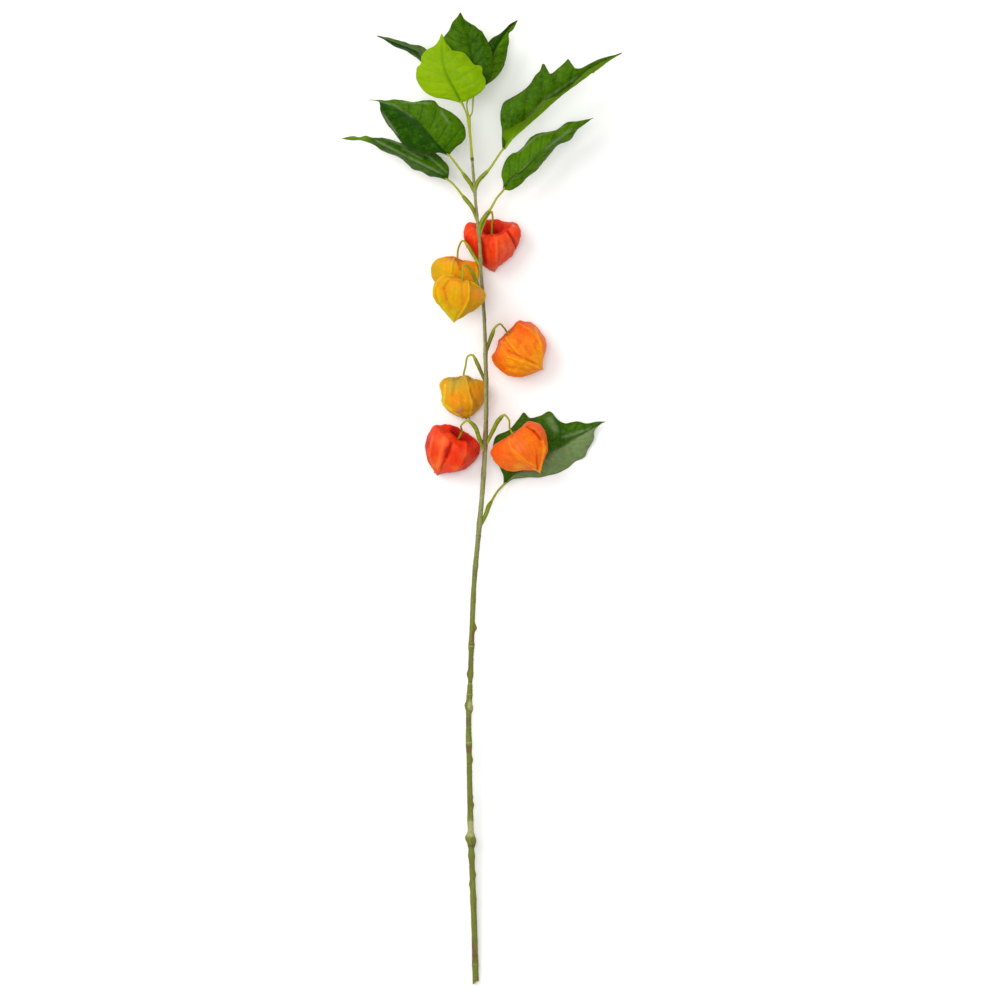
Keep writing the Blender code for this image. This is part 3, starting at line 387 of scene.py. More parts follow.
def stem_rings():
    """The stem's rings of points, with its rings, buds and scars, and the marks they carry."""
    along = np.arange(STEM_LINE[0][1], STEM_LINE[-1][1] + STEM_STEP / 2, STEM_STEP)
    line = smooth_line(STEM_LINE, (along - along[0]) / (along[-1] - along[0]))
    y = line[:, 1]

    def facing(way, wrap=0.0):
        return np.clip(np.cos(turns(STEM_SIDES) - math.radians(way)) + wrap, 0, 1)

    radius = np.interp(y, *zip(*STEM_RADIUS))
    for spot, swell, reach in STEM_RINGS:
        radius = radius + swell * hump(y - spot, reach)
    radii = np.repeat(radius[:, None], STEM_SIDES, axis=1)
    for spot, way, height, reach in STEM_BUDS:
        radii = radii + height * facing(way) ** BUD_FOCUS * hump(y - spot, reach)[:, None]
    rough = rings_round(line, radii, STEM_SIDES)
    spot, reach, extra = ROUGH_STRETCH
    knobbly = 1 + extra * hump(y - spot, reach)[:, None]
    (lump_height, lump_size), (grain_height, grain_size) = BARK_LUMPS, BARK_GRAIN
    radii = radii + lump_height * uneven(rough * (1, 0.25, 1), lump_size, 5)
    radii = radii + grain_height * knobbly * uneven(rough, grain_size, 6)
    ring = 0
    for spot, reach, tone in LEAF_RINGS:
        groove = hump(y - spot - LEAF_RING_GROOVE * reach, reach)
        radii = radii + LEAF_RING_HEIGHT * (hump(y - spot, reach) - groove)[:, None]
        ring = ring + tone * hump(y - spot, reach)[:, None]
    rings = rings_round(line, radii, STEM_SIDES)
    patch_tone = 0
    for spot, way, reach, tone in STEM_PATCHES:
        patch_tone = patch_tone + tone * facing(way, PATCH_WRAP) * hump(y - spot, reach)[:, None]
    aside, above = rings[..., 0] - line[:, None, 0], rings[..., 2] - line[:, None, 2]
    near_cut = np.clip(1 - (rings[..., 1] - STEM_FOOT) / CUT_BLEND, 0, 1)
    squeezed = STEM_FOOT + CUT_SPACING * (rings[..., 1] - STEM_LINE[0][1])
    rings[..., 1] = np.maximum(rings[..., 1], squeezed)
    rings[..., 1] += CUT_SLOPE * (aside + CUT_LEAN * above) * near_cut
    return rings, {"ring": ring, "patch_tone": patch_tone}


stem, marks = cap(*stem_rings())
marks["cut"] = (np.arange(len(stem)) < len(CAP_STEPS)).astype(float)[:, None]

bark, bark_shader, pen = new_finish("mottled_bark")
spot = pen.place()
height_along = pen.node("SeparateXYZ", {}, {0: spot}, out=1)
streaks = pen.noise(pen.place(1, 0.14, 1), 2.6)
patches = pen.noise(pen.place(1, 0.5, 1), 7)
specks = pen.noise(spot, 0.9, detail=4)
freckles = pen.noise(pen.place(1, 0.7, 1), 1.3, detail=4)
green_above = (height_along + (patches - 0.5) * 160).between(-150, 60)
patch_tone = pen.mark("patch_tone") + (patches - 0.5) * 1.4 + (specks - 0.5) * 1.2
ring = pen.mark("ring") + (specks - 0.5) * 0.6
colour = paint(
    green_above.mix(OLIVE, SAGE),
    (streaks.between(0.52, 0.66) * (0.5 - 0.1 * green_above), BARK_BROWN),
    (streaks.between(0.46, 0.34) * (0.15 + 0.2 * green_above), LICHEN),
    (patch_tone.between(0.25, 0.8) * 0.85, PATCH_BROWN),
    (patch_tone.between(-0.3, -0.8) * 0.8, PALE_BARK),
    (specks.between(0.52, 0.64) * (0.15 + 0.45 * green_above), LICHEN),
    (freckles.between(0.54, 0.64) * 0.6, BARK_BROWN),
    (patches.between(0.58, 0.7) * 0.5, MOSS),
    (ring.between(0.1, 0.8) * 0.8, RING_BROWN),
    (ring.between(-0.1, -0.8) * 0.8, PALE_BARK),
    (pen.mark("cut"), PITH))
dress(bark_shader, colour, 0.52 + 0.2 * streaks, streaks + 0.6 * specks, 0.35)
seat("dressed_stem", skin("dressed_stem", [(stem, marks)]), "main_stem", bark)

shoot_line = smooth_line(SHOOT_LINE, np.linspace(0, 1, SHOOT_ROWS))
shoot_radii = np.interp(shoot_line[:, 1], [point[1] for point in SHOOT_LINE], SHOOT_RADII)
shoot = rings_round(shoot_line, np.repeat(shoot_radii[:, None], SHOOT_SIDES, axis=1), SHOOT_SIDES)
shoot += SHOOT_GRAIN[0] * uneven(shoot, SHOOT_GRAIN[1], 8)[..., None] * (1, 0, 1)


# ---- The stalks -------------------------------------------------------------------------------
# Every leaf and lantern hangs on a thin green stalk that leaves the stem in a swollen sheath. The
# lanterns' stalks arch over, turn down into the mouth and widen there into a small green cup. The
# end of the shoot has the same skin.

LEAF_STALKS = {                         # X, Y, Z and radius, from inside the stem out to the blade
    "top_lime_leaf": [(-12.9, 342.9, 56.0, 0.75), (-14.4, 348, 57.6, 0.75), (-16.4, 352.5, 59.4, 0.8)],
    "top_middle_leaf": [(-11.1, 342.9, 56.0, 0.75), (-12.9, 349, 56, 0.7), (-13.4, 356, 55.6, 0.7),
                        (-11.4, 362, 54.8, 0.75)],
    "top_right_leaf": [(-11.1, 342.9, 54.1, 0.75), (-8.9, 347, 52.6, 0.7), (-8.1, 355, 51, 0.7),
                       (-7.4, 362, 50, 0.75)],
    "top_left_leaf": [(-12.9, 342.9, 54.1, 0.75), (-15, 350, 51, 0.7), (-18, 357, 48.4, 0.75)],
    "upper_left_leaf": [(-6.5, 275, 50.4, 1.2), (-10.2, 283.5, 52, 1.7), (-14.2, 289, 53, 1.75),
                        (-18.1, 294.3, 54, 1.1), (-24.2, 302.4, 55.2, 0.95)],
    "lower_left_leaf": [(-3.8, 249, 48.5, 1.2), (-9.3, 263, 47, 1.7), (-14.2, 269, 45.5, 1.75),
                        (-18.2, 274, 44, 1.1), (-23.5, 280.8, 42, 0.95), (-27.6, 285, 40.6, 0.95)],
    "toothed_right_leaf": [(-6.6, 276, 50.5, 1.2), (-3, 286.3, 52, 1.7), (1.3, 290.9, 53, 1.75),
                           (6.6, 296.5, 54.2, 1.1), (12.8, 305.5, 55.8, 0.95)],
    "lower_right_leaf": [(-2.9, 240.5, 48.4, 1.2), (0.6, 251, 50.2, 1.7), (3.9, 255.5, 50.4, 1.75),
                         (7.8, 260.8, 50.3, 1.1), (13.2, 270.3, 49.4, 0.95)],
    "low_leaf": [(-1.6, -24, 29, 1.6), (3.9, -13, 27.4, 1.7), (5.9, -7, 25.4, 1.9), (9, -1.6, 22, 1.2),
                 (13.8, 6.4, 15, 1.0)],
}
LANTERN_STALKS = {
    "top_red_lantern": [(-2.6, 235, 46.6, 1.1), (2.2, 249, 45.2, 1.2), (5.8, 256, 43.4, 1.1),
                        (8.6, 258.6, 40.8, 0.9), (9.8, 254.5, 37, 0.85)],
    "rear_yellow_lantern": [(-1.2, 209, 45.4, 1.1), (-9.7, 223, 44, 1.5), (-13.6, 229.5, 41.5, 1.1),
                            (-17, 232.4, 36.5, 0.85), (-20, 229, 28, 0.85), (-21.6, 223.5, 22.5, 0.85)],
    "front_yellow_lantern": [(1.2, 180, 43.2, 1.1), (-3.4, 192, 42.8, 1.3), (-7.5, 201, 45.6, 1.4),
                             (-10.6, 207.4, 51, 1.1), (-13.8, 210, 57, 0.85), (-16.4, 208.4, 61.2, 0.85)],
    "right_orange_lantern": [(3.2, 129, 39.4, 1.1), (6.6, 141, 40, 1.5), (9.2, 148, 40, 1.7),
                             (12, 154.5, 39, 1.0), (16.2, 157.6, 36, 0.85), (19.8, 154.5, 31, 0.85)],
    "small_amber_lantern": [(3.8, 103, 37.5, 1.1), (-0.6, 114, 38.4, 1.4), (-4.4, 122.4, 38.4, 1.6),
                            (-8.6, 129.6, 36, 1.0), (-12, 129, 32, 0.85), (-14.8, 119, 25, 0.85)],
    "low_red_lantern": [(2.6, 41, 33.4, 1.1), (-2.6, 55.5, 36, 1.7), (-6.6, 65.4, 38.4, 1.8),
                        (-13.4, 70.4, 40.4, 1.0), (-17.6, 67.4, 38.5, 0.85)],
    "low_orange_lantern": [(3.2, 47, 33.8, 1.1), (10.2, 62, 37, 1.7), (15.6, 71.6, 39.4, 1.8),
                           (20.6, 75.6, 41.4, 1.0), (24, 72, 41, 0.85)],
}
STALK_SIDES = 16
STALK_STEP = 0.7
SHEATH_RADIUS = 1.3                     # a stalk is sheath where it is thicker than this
SHEATH_BLEND = 0.2                      # the change in radius over which a stalk turns into sheath
SEAM_HEIGHT = 0.2
SEAM_FOCUS = 7                          # how narrow the seams along both sides of a sheath are
STALK_FLUTES = 3
FLUTE_DEPTH = 0.05
STALK_GRAIN = (0.03, 2.0)               # height and size of the unevenness of a stalk's skin
FEWEST_ROWS = 24
CUP_REACH = 5.0                         # length of the cup in a lantern's mouth
CUP_RADIUS = 1.7
FOOT_LENGTH = 22                        # how far up a browned stalk the brown fades out
STALK_GREEN, STALK_LIGHT = (0.25, 0.31, 0.010), (0.36, 0.38, 0.012)
SHEATH_GREEN, FOOT_BROWN = (0.175, 0.235, 0.006), (0.075, 0.05, 0.010)

stalk_skin, stalk_shader, pen = new_finish("stalk_skin")
lines = pen.noise(pen.place(1, 0.4, 1), 0.8)
blots = pen.noise(pen.place(1, 0.5, 1), 1.6)
colour = paint(
    lines.between(0.35, 0.65).mix(STALK_GREEN, STALK_LIGHT),
    (pen.mark("sheath") * (0.6 + 0.4 * lines.between(0.62, 0.42)), SHEATH_GREEN),
    (pen.mark("sheath") * blots.between(0.52, 0.66) * 0.6, FOOT_BROWN),
    (pen.mark("seam") * 0.85, FOOT_BROWN),
    (pen.mark("foot") * 0.9, FOOT_BROWN),
    (pen.mark("cup") * 0.7, SHEATH_GREEN))
dress(stalk_shader, colour, 0.42, lines, 0.15)
seat("dressed_shoot", skin("dressed_shoot", [cap(shoot, {})]), "shoot_tip", stalk_skin)


def dress_stalk(name, route, ending, cup=False, foot=0.0, thin_out=1.0):
    """A stalk along its route and then to its ending, in place of the solid of that name."""
    points = [point[:3] for point in route] + [tuple(point) for point in ending]
    knots = [point[3] for point in route]
    knots += [knots[-1]] * (len(ending) - 1) + [knots[-1] * thin_out]
    posts = np.concatenate([[0], np.cumsum(np.linalg.norm(np.diff(points, axis=0), axis=1))])
    reach = np.linspace(0, posts[-1], max(FEWEST_ROWS, int(posts[-1] / STALK_STEP)))
    line = smooth_line(points, reach / posts[-1])
    radius = np.interp(reach, posts, knots)
    in_cup = hump(posts[-1] - reach, CUP_REACH / 2) if cup else np.zeros(len(reach))
    turn = turns(STALK_SIDES)
    sheath = np.clip((radius - SHEATH_RADIUS) / SHEATH_BLEND + 0.5, 0, 1)[:, None]
    seam = sheath * np.abs(np.cos(turn)) ** SEAM_FOCUS
    radii = (radius + (CUP_RADIUS - radius) * in_cup)[:, None]
    radii = radii * (1 + FLUTE_DEPTH * np.cos(STALK_FLUTES * turn)) + SEAM_HEIGHT * seam
    rings = rings_round(line, radii, STALK_SIDES)
    rings = rings + STALK_GRAIN[0] * uneven(rings, STALK_GRAIN[1], len(name))[..., None]
    browned = foot * np.clip(1 - reach / FOOT_LENGTH, 0, 1)[:, None] ** 0.7
    marks = {"sheath": sheath, "seam": seam, "cup": in_cup[:, None], "foot": browned}
    mesh = skin("dressed_" + name, [cap(rings, marks)])
    seat("dressed_" + name, mesh, name, stalk_skin)


# ---- The dark leaves --------------------------------------------------------------------------
# Smooth pointed blades of a firm, waxy leaf. Each is bent between its midrib and its two margins,
# with sunken veins, a ridge under the midrib, and a fine maroon margin. Some carry a tooth or two.
# Painted shade darkens a half of some blades, and grey painted sheen lies on halves and in strokes.

# A blade's midrib and its two outlines run from its base to one tip, which only the midrib gives.
# The lifts say how far each margin stands above the midrib, at even steps between the two ends.
LEAVES = {
    "top_lime_leaf": {
        "base": (-18.4, 356, 61),
        "midrib": [(-5.5, 11, 3.5), (-11.5, 21.5, 5.5), (-16, 34, 6.5), (-17.2, 48, 5), (-17.7, 62, 2)],
        "left": [(-8, 2), (-17, 4), (-25, 6), (-32, 10), (-37.5, 17), (-40, 27), (-39, 32.5),
                 (-36.3, 34.5), (-35.5, 41), (-31, 47), (-24, 51), (-19.2, 57)],
        "right": [(3, 1), (11, 5), (17, 9.5), (21, 15), (21.3, 20.5), (18.5, 26), (18.4, 31.5),
                  (16, 33.6), (12, 34), (6, 41), (1.5, 45), (-3, 46), (-7.5, 46), (-11, 49.5),
                  (-14.8, 56)],
        "left_lift": (-2, -6, -3), "right_lift": (1, -3, -2)},
    "top_middle_leaf": {
        "base": (-8.8, 366.3, 54),
        "midrib": [(1.4, 12.5, -2), (0.2, 26, -3), (-2, 38, -3), (-4.5, 48, -2), (-7.5, 59, 0),
                   (-10.6, 71, 3)],
        "left": [(-7, 2.5), (-18, 11), (-26, 23.5), (-28.5, 36), (-25, 49), (-20.5, 55), (-19.2, 58),
                 (-16.8, 63), (-12, 68)],
        "right": [(5.5, 2), (13.5, 9), (17.5, 20), (17.5, 33), (14, 45), (11, 50), (8.2, 54.3), (5.5, 56),
                  (2.5, 59), (-2, 61.5), (-7.2, 65)],
        "left_lift": (-2, -2, -2), "right_lift": (-1, -2, -1)},
    "top_right_leaf": {
        "base": (-5.2, 368.2, 49),
        "midrib": [(4.5, 11, -3), (10, 22, -6), (15.5, 33, -8), (21, 42.5, -8), (28, 52.5, -6),
                   (37.3, 62.5, -3)],
        "left": [(-2, 9), (-2, 21.5), (3.5, 34), (11.2, 42.2), (15.5, 46.8), (21, 49.6), (25.7, 53.5),
                 (31, 58.7)],
        "right": [(7.7, 4.3), (13, 7.8), (18.3, 12), (23.5, 20), (26.7, 29), (28.3, 38), (29.8, 43),
                  (29.6, 52), (33, 55.5), (35.4, 59.3)],
        "left_lift": (1, 3, 1), "right_lift": (-4, -7, -3)},
    "top_left_leaf": {
        "base": (-22, 364, 46),
        "midrib": [(-7, 10, -4), (-16, 20.5, -7), (-29.5, 34.5, -9), (-43, 42.2, -10), (-58, 47.3, -11),
                   (-65, 50, -12), (-72.5, 53.2, -14)],
        "left": [(-5, 0.5), (-15, 9), (-26, 22), (-32.8, 31), (-40.5, 36.5), (-46, 40.5), (-58, 45),
                 (-63.5, 48.5)],
        "right": [(-2.5, 8.5), (-11, 24), (-20, 33), (-28.5, 39.5), (-33, 42.8), (-42, 44.8), (-53, 48.4),
                  (-64, 51)],
        "left_lift": (-9, -15, -10), "right_lift": (5, 12, 8)},
    "upper_left_leaf": {
        "base": (-29.5, 309, 56),
        "midrib": [(-3, 2.5, 1), (-14, 13.5, 4), (-27.5, 29, 6), (-38.5, 38.2, 5.5), (-50.5, 44.2, 3),
                   (-62.3, 48.6, -1), (-72, 49.8, -3)],
        "left": [(-6.5, 2.6), (-14, 1.4), (-23.5, 2), (-31, 4.2), (-37, 7.8), (-44.5, 15), (-52, 25),
                 (-58.7, 34.5), (-61.8, 42), (-63, 48)],
        "right": [(2.2, 3.2), (5.6, 6), (11, 10), (14.5, 17), (14, 23), (11.5, 28), (7, 34), (1, 38.3),
                  (-5, 41.2), (-9.5, 43.8), (-12.5, 48), (-22, 49.2), (-34.5, 47.3), (-44.5, 48.7),
                  (-50.5, 49.8), (-56.5, 48.8), (-63, 49.6)],
        "left_lift": (-7, -11, -7), "right_lift": (-3, -2, 1)},
    "lower_left_leaf": {
        "base": (-31, 287.6, 40),
        "midrib": [(-3.5, 2.2, 1), (-11, 6, 3), (-22, 12, 5), (-37, 19.5, 6), (-52, 29, 5),
                   (-67, 35.8, 1), (-79, 37, -3), (-95, 37, -6)],
        "left": [(-7, 1.8), (-14.7, 3.7), (-22, 7.3), (-28, 9), (-33.3, 12.6), (-38.5, 18.3), (-52, 24),
                 (-61, 27.6), (-65.3, 31.5), (-77, 34.7), (-86, 36)],
        "right": [(0.6, 1.5), (1, 9), (-3.5, 15.8), (-10, 22.3), (-21, 26.5), (-32, 27.6), (-38, 31.7),
                  (-44.6, 33.2), (-53.5, 35.5), (-59.5, 37.3), (-67, 37), (-73.5, 39), (-79, 38),
                  (-87, 38.2)],
        "left_lift": (-11, -15, -9, -3), "right_lift": (-10, -15, -10, -3)},
    "toothed_right_leaf": {
        "base": (19.1, 314.4, 57),
        "midrib": [(8, 8, 0), (17.6, 16.7, 0), (37, 34.2, 0), (56.6, 51.4, 1), (76, 65.6, 2),
                   (88, 74.8, 4), (96, 80, 5), (107, 86.5, 7)],
        "left": [(-0.5, 8), (-0.5, 16), (-2, 25.5), (-1.5, 34), (1, 41), (8, 45.5), (17.6, 51.5),
                 (24.5, 58), (29.3, 65.5), (33.7, 70), (36.2, 76), (39, 71.4), (42.5, 67.4), (49, 71.5),
                 (55.5, 77.2), (58.8, 80.4), (59.8, 76), (63.5, 72.8), (68.5, 72), (78, 76.3), (86, 80.2),
                 (93.7, 82.7), (100.5, 84.2)],
        "right": [(1, 7), (-1.5, 12.5), (2, 17), (10.7, 22), (20.5, 28), (27.5, 33.5), (32, 38.5),
                  (36.6, 43.6), (41.5, 45), (52, 50), (58.5, 54.4), (65.3, 60.5), (69.5, 65.3), (76, 71),
                  (86, 76.5), (95.5, 82)],
        "left_lift": (4, 6, 4), "right_lift": (15, 19, 12)},
    "lower_right_leaf": {
        "base": (19.8, 278.6, 48),
        "midrib": [(3, 5, 1), (7.2, 9.5, 2), (17, 16.6, 3.5), (26.6, 26.2, 4.5), (36.5, 36, 4.5),
                   (51, 47.6, 3), (61.7, 54.6, 1), (70.6, 60.2, -1), (80.3, 64.2, -3)],
        "left": [(0.2, 4.7), (-1.7, 11.5), (-0.2, 19.5), (3.2, 27), (8, 31.4), (12, 33), (17.8, 38.3),
                 (23.8, 44.6), (31.5, 49.6), (41, 51.5), (46.3, 52.2), (52, 56), (57.3, 59.8),
                 (64.6, 60.5), (71.5, 62.4)],
        "right": [(5, -0.6), (11, 2.3), (21.7, 12.4), (29.5, 18.8), (38.3, 27.6), (43.2, 34), (49, 40.3),
                  (59.8, 45.6), (65.6, 53.3), (72.5, 58.4)],
        "left_lift": (-5, -7, -5), "right_lift": (-8, -13, -8)},
    "low_leaf": {
        "base": (20.3, 13.5, 8.5),
        "midrib": [(8.7, 8, -2), (23, 15.3, -4), (37.5, 24.3, -4), (50, 31.7, -4), (62, 39.6, -3),
                   (80, 50, -1), (91, 56.3, 1)],
        "left": [(-0.4, 7), (-3.5, 14), (-9, 25), (-9.6, 36), (-7.5, 42), (4.8, 49), (13.5, 58.7),
                 (17.8, 64.2), (23, 59.4), (33, 61), (41, 65), (46, 59.5), (53, 54.3), (66, 55.9),
                 (74.5, 54), (83.5, 55.8)],
        "right": [(7, 4.8), (12.7, 6), (33.6, 7.2), (47.3, 10.2), (57, 15.3), (62, 19.4), (72.8, 26),
                  (74.3, 30), (78, 36), (80.6, 41.3), (81, 49), (85.2, 53.5)],
        "left_lift": (-3, -3, -2), "right_lift": (-3, -4, -3)},
}
BLADE_ROWS = 150
HALF_COLUMNS = 25
COLUMN_CROWDING = 0.9                   # under 1, the columns stand closer at the margin
HEADING_STEP = 0.02                     # share of the midrib over which its heading is taken
LEAF_BULGE = 0.10                       # how far each half bulges, as a share of its width
LEAF_NECK = 0.9                         # half width where the stalk meets the blade, and at the tip
LEAF_POINT = 0.35
BLADE_THICKNESS = 0.55
MARGIN_THICKNESS = 0.22
THINNING_WIDTH = 3                      # width of the strip that thins out towards the margin
MIDRIB_WIDTH = 1.0
MIDRIB_GROOVE = 0.55
MIDRIB_RIDGE = 0.9                      # how far the midrib stands out underneath, and its half width
RIDGE_WIDTH = 1.3
VEIN_STARTS = (0.05, 0.17, 0.30, 0.43, 0.56, 0.69, 0.81)
VEIN_RAKE = 0.24                        # how far towards the tip a vein has run when it meets the margin
VEIN_WIDTH = 0.55
VEIN_GROOVE = 0.2
PUFF = 0.3                              # how far the blade stands up between its veins,
PUFF_WIDTH = 3.2                        # and how far from them
MARGIN_WAVE = (0.7, 17)                 # height and length of the waves along the margins,
BLADE_GRAIN = (0.15, 6)                 # and of the finer unevenness all over
MARGIN_PAINT = 0.55                     # width of the coloured line along the margin
STROKE_STRENGTH = 0.65
STALK_UNDER_BLADE = 3.5                 # how far a stalk runs on into its blade's midrib
STALK_DROPS = 0.45, 1.4                 # how far under the blade it lies, at the base and beyond it
STALK_THIN_END = 0.4                    # how thin it ends, as a share of its radius
# How a blade takes the light, painted into its colour: how much painted shade darkens its left and right
# halves and how much grey painted sheen lies on them, the strokes of painted sheen along its ridges (two
# places from the base, and half width), how much of its tip is pale, and how plainly its veins show.
PLAIN_LOOK = {"dark": (0.3, 0.3), "painted_sheen": (0.0, 0.0), "strokes": (), "pale_tip": 0.0, "veins": 1.0}
LEAF_LOOKS = {
    "top_lime_leaf": {"dark": (0.0, 0.25), "veins": 0.3},
    "top_middle_leaf": {"dark": (0.15, 0.4)},
    "top_right_leaf": {"dark": (0.8, 0.0)},
    "top_left_leaf": {"dark": (0.8, 0.4), "painted_sheen": (0.0, 0.25), "strokes": (
        ((-12, 16), (-34, 37), 1.2),)},
    "upper_left_leaf": {"dark": (0.75, 0.2), "pale_tip": 0.12, "strokes": (
        ((-64, 49), (-46, 44), 0.8), ((-50, 46), (-32, 33), 0.7), ((-43, 47.5), (-16, 46.5), 0.9),
        ((-8, 40.5), (0, 29), 1.1), ((-60, 38), (-46, 18), 1.2))},
    "lower_left_leaf": {"dark": (0.5, 0.45), "painted_sheen": (0.05, 0.0), "pale_tip": 0.27, "strokes": (
        ((-66, 36), (-36.5, 20.5), 1.1), ((-36.5, 20.5), (-5, 5), 1.2), ((-54, 36.5), (-17, 21), 0.9),
        ((-17, 21), (0, 6), 0.9), ((-40, 28), (-22, 18), 0.8))},
    "toothed_right_leaf": {"dark": (0.25, 0.2), "strokes": (
        ((23, 29), (38, 45), 0.8), ((38, 45), (68, 66), 0.9))},
    "lower_right_leaf": {"dark": (0.0, 0.0), "strokes": (
        ((12, 32), (29, 47), 0.8), ((29, 47), (55, 57), 0.9), ((36, 35), (61, 54.5), 1.2),
        ((3, 5), (36, 36), 0.35))},
    "low_leaf": {"dark": (0.45, 0.0), "painted_sheen": (0.0, 0.85), "strokes": (
        ((40, 61), (47, 47), 2.6), ((70, 60), (90, 66), 1.6), ((25, 20), (74, 42), 1.6),
        ((52, 42), (78, 50), 1.4))},
}


def even_steps(values, share):
    """Values read off a smooth line through values at even steps, and through 0 at both ends."""
    stride = 100.0
    return smooth_line([(i * stride, value, 0) for i, value in enumerate((0, *values, 0))], share)[..., 1]


def line_distance(points, start, end):
    """Distance of points from the line between two places, all seen from above."""
    start, way = np.array(start), np.subtract(end, start)
    share = np.clip((points[..., :2] - start) @ way / (way @ way), 0, 1)
    return np.linalg.norm(points[..., :2] - start - share[..., None] * way, axis=-1)


def midrib_line(leaf, share):
    """Places along a blade's midrib, measured from its base."""
    return smooth_line([(0, 0, 0)] + leaf["midrib"], share)


def unit(vectors):
    """Vectors brought to a length of 1."""
    return vectors / np.maximum(np.linalg.norm(vectors, axis=-1), 1e-6)[..., None]


def blade_rings(leaf, look, seed):
    """Rings of points round a blade, over the top and back underneath, and the marks they carry."""
    along = np.linspace(0, 1, BLADE_ROWS)
    midrib = midrib_line(leaf, along)
    ahead = midrib_line(leaf, along + HEADING_STEP) - midrib_line(leaf, along - HEADING_STEP)
    side = unit(np.stack([-ahead[:, 1], ahead[:, 0], 0 * along], axis=1))
    neck = LEAF_NECK * (1 - along) + LEAF_POINT * along
    out = np.linspace(0, 1, HALF_COLUMNS) ** COLUMN_CROWDING
    tops, widths = [], []
    for name, sign in (("left", 1), ("right", -1)):
        outline = [(0, 0), *leaf[name], leaf["midrib"][-1][:2]]
        edge = smooth_line([(x, y, 0) for x, y in outline], along)
        edge[:, 2] = midrib[:, 2] + even_steps(leaf[name + "_lift"], along)
        span = edge - midrib
        face = unit(sign * np.cross(ahead, span))
        width = np.linalg.norm(span, axis=1)[:, None]
        swell = LEAF_BULGE * width * 4 * out * (1 - out) * np.clip(along * 6, 0, 1)[:, None]
        half = midrib[:, None] + span[:, None] * out[None, :, None] + face[:, None] * swell[..., None]
        tops.append(half + side[:, None] * (sign * neck[:, None] * out)[..., None])
        widths.append(np.repeat(width, HALF_COLUMNS, axis=1))
    top = np.concatenate([tops[0][:, ::-1], tops[1][:, 1:]], axis=1)
    width = np.concatenate([widths[0][:, ::-1], widths[1][:, 1:]], axis=1)
    across = np.concatenate([out[::-1], -out[1:]])[None] + 0 * width
    off = np.abs(across)
    normal = unit(np.cross(np.gradient(top, axis=1), np.gradient(top, axis=0)))
    long = np.linalg.norm(np.diff(midrib, axis=0), axis=1).sum()
    a = along[:, None]
    run = a - VEIN_RAKE * off ** 0.85 * (1 - 0.35 * a)
    vein_gap = np.min([np.abs(run - start) for start in VEIN_STARTS], axis=0) * long
    fade = np.clip(off * width / 2.5, 0, 1) * np.clip((1 - off) * 4, 0, 1) * np.clip((1 - a) * 5, 0, 1)
    vein = hump(vein_gap, VEIN_WIDTH) * fade
    rib = hump(off * width, MIDRIB_WIDTH)
    lift = PUFF * (1 - hump(vein_gap, PUFF_WIDTH)) * fade - VEIN_GROOVE * vein
    lift -= MIDRIB_GROOVE * rib * np.clip((1 - a) * 6, 0, 1)
    lift += MARGIN_WAVE[0] * uneven(top, MARGIN_WAVE[1], seed) * off ** 2
    lift += BLADE_GRAIN[0] * uneven(top, BLADE_GRAIN[1], seed + 1)
    top = top + normal * lift[..., None]
    body = np.clip((1 - off) * width / THINNING_WIDTH, 0, 1)
    thick = MARGIN_THICKNESS + (BLADE_THICKNESS - MARGIN_THICKNESS) * body
    thick += MIDRIB_RIDGE * hump(off * width, RIDGE_WIDTH) * (1 - 0.8 * a)
    under = top - normal * thick[..., None]
    left, right = np.clip(0.5 + across * 9, 0, 1), np.clip(0.5 - across * 9, 0, 1)
    # The dark marks are painted shade and the others grey painted sheen, each given for the left and
    # right halves.
    dark, painted_sheen = (look[key][0] * left + look[key][1] * right for key in ("dark", "painted_sheen"))
    # Strokes of grey painted sheen along the blade's ridges.
    for start, end, half in look["strokes"]:
        start, end = np.array(start), np.array(end)
        reach = np.linalg.norm(top[..., :2] - (start + end) / 2, axis=-1) / np.linalg.norm(end - start)
        stroke = hump(line_distance(top, start, end), half) * np.clip((0.62 - reach) * 4, 0, 1)
        painted_sheen = np.maximum(painted_sheen, STROKE_STRENGTH * stroke)
    marks = {"vein": vein * look["veins"], "rib": rib * np.clip((1 - a) * 1.4, 0, 1),
             "edge": np.exp(-(1 - off) * width / MARGIN_PAINT), "dark": dark, "painted_sheen": painted_sheen,
             "pale": np.clip((a - 1 + look["pale_tip"]) * 12, 0, 1) + 0 * off}
    marks = {key: np.concatenate([value, value[:, ::-1]], axis=1) for key, value in marks.items()}
    marks["under"] = np.concatenate([0 * off, 1 + 0 * off], axis=1)
    return np.concatenate([top, under[:, ::-1]], axis=1), marks


VEIN_BELOW = (0.45, 0.58, 0.09)


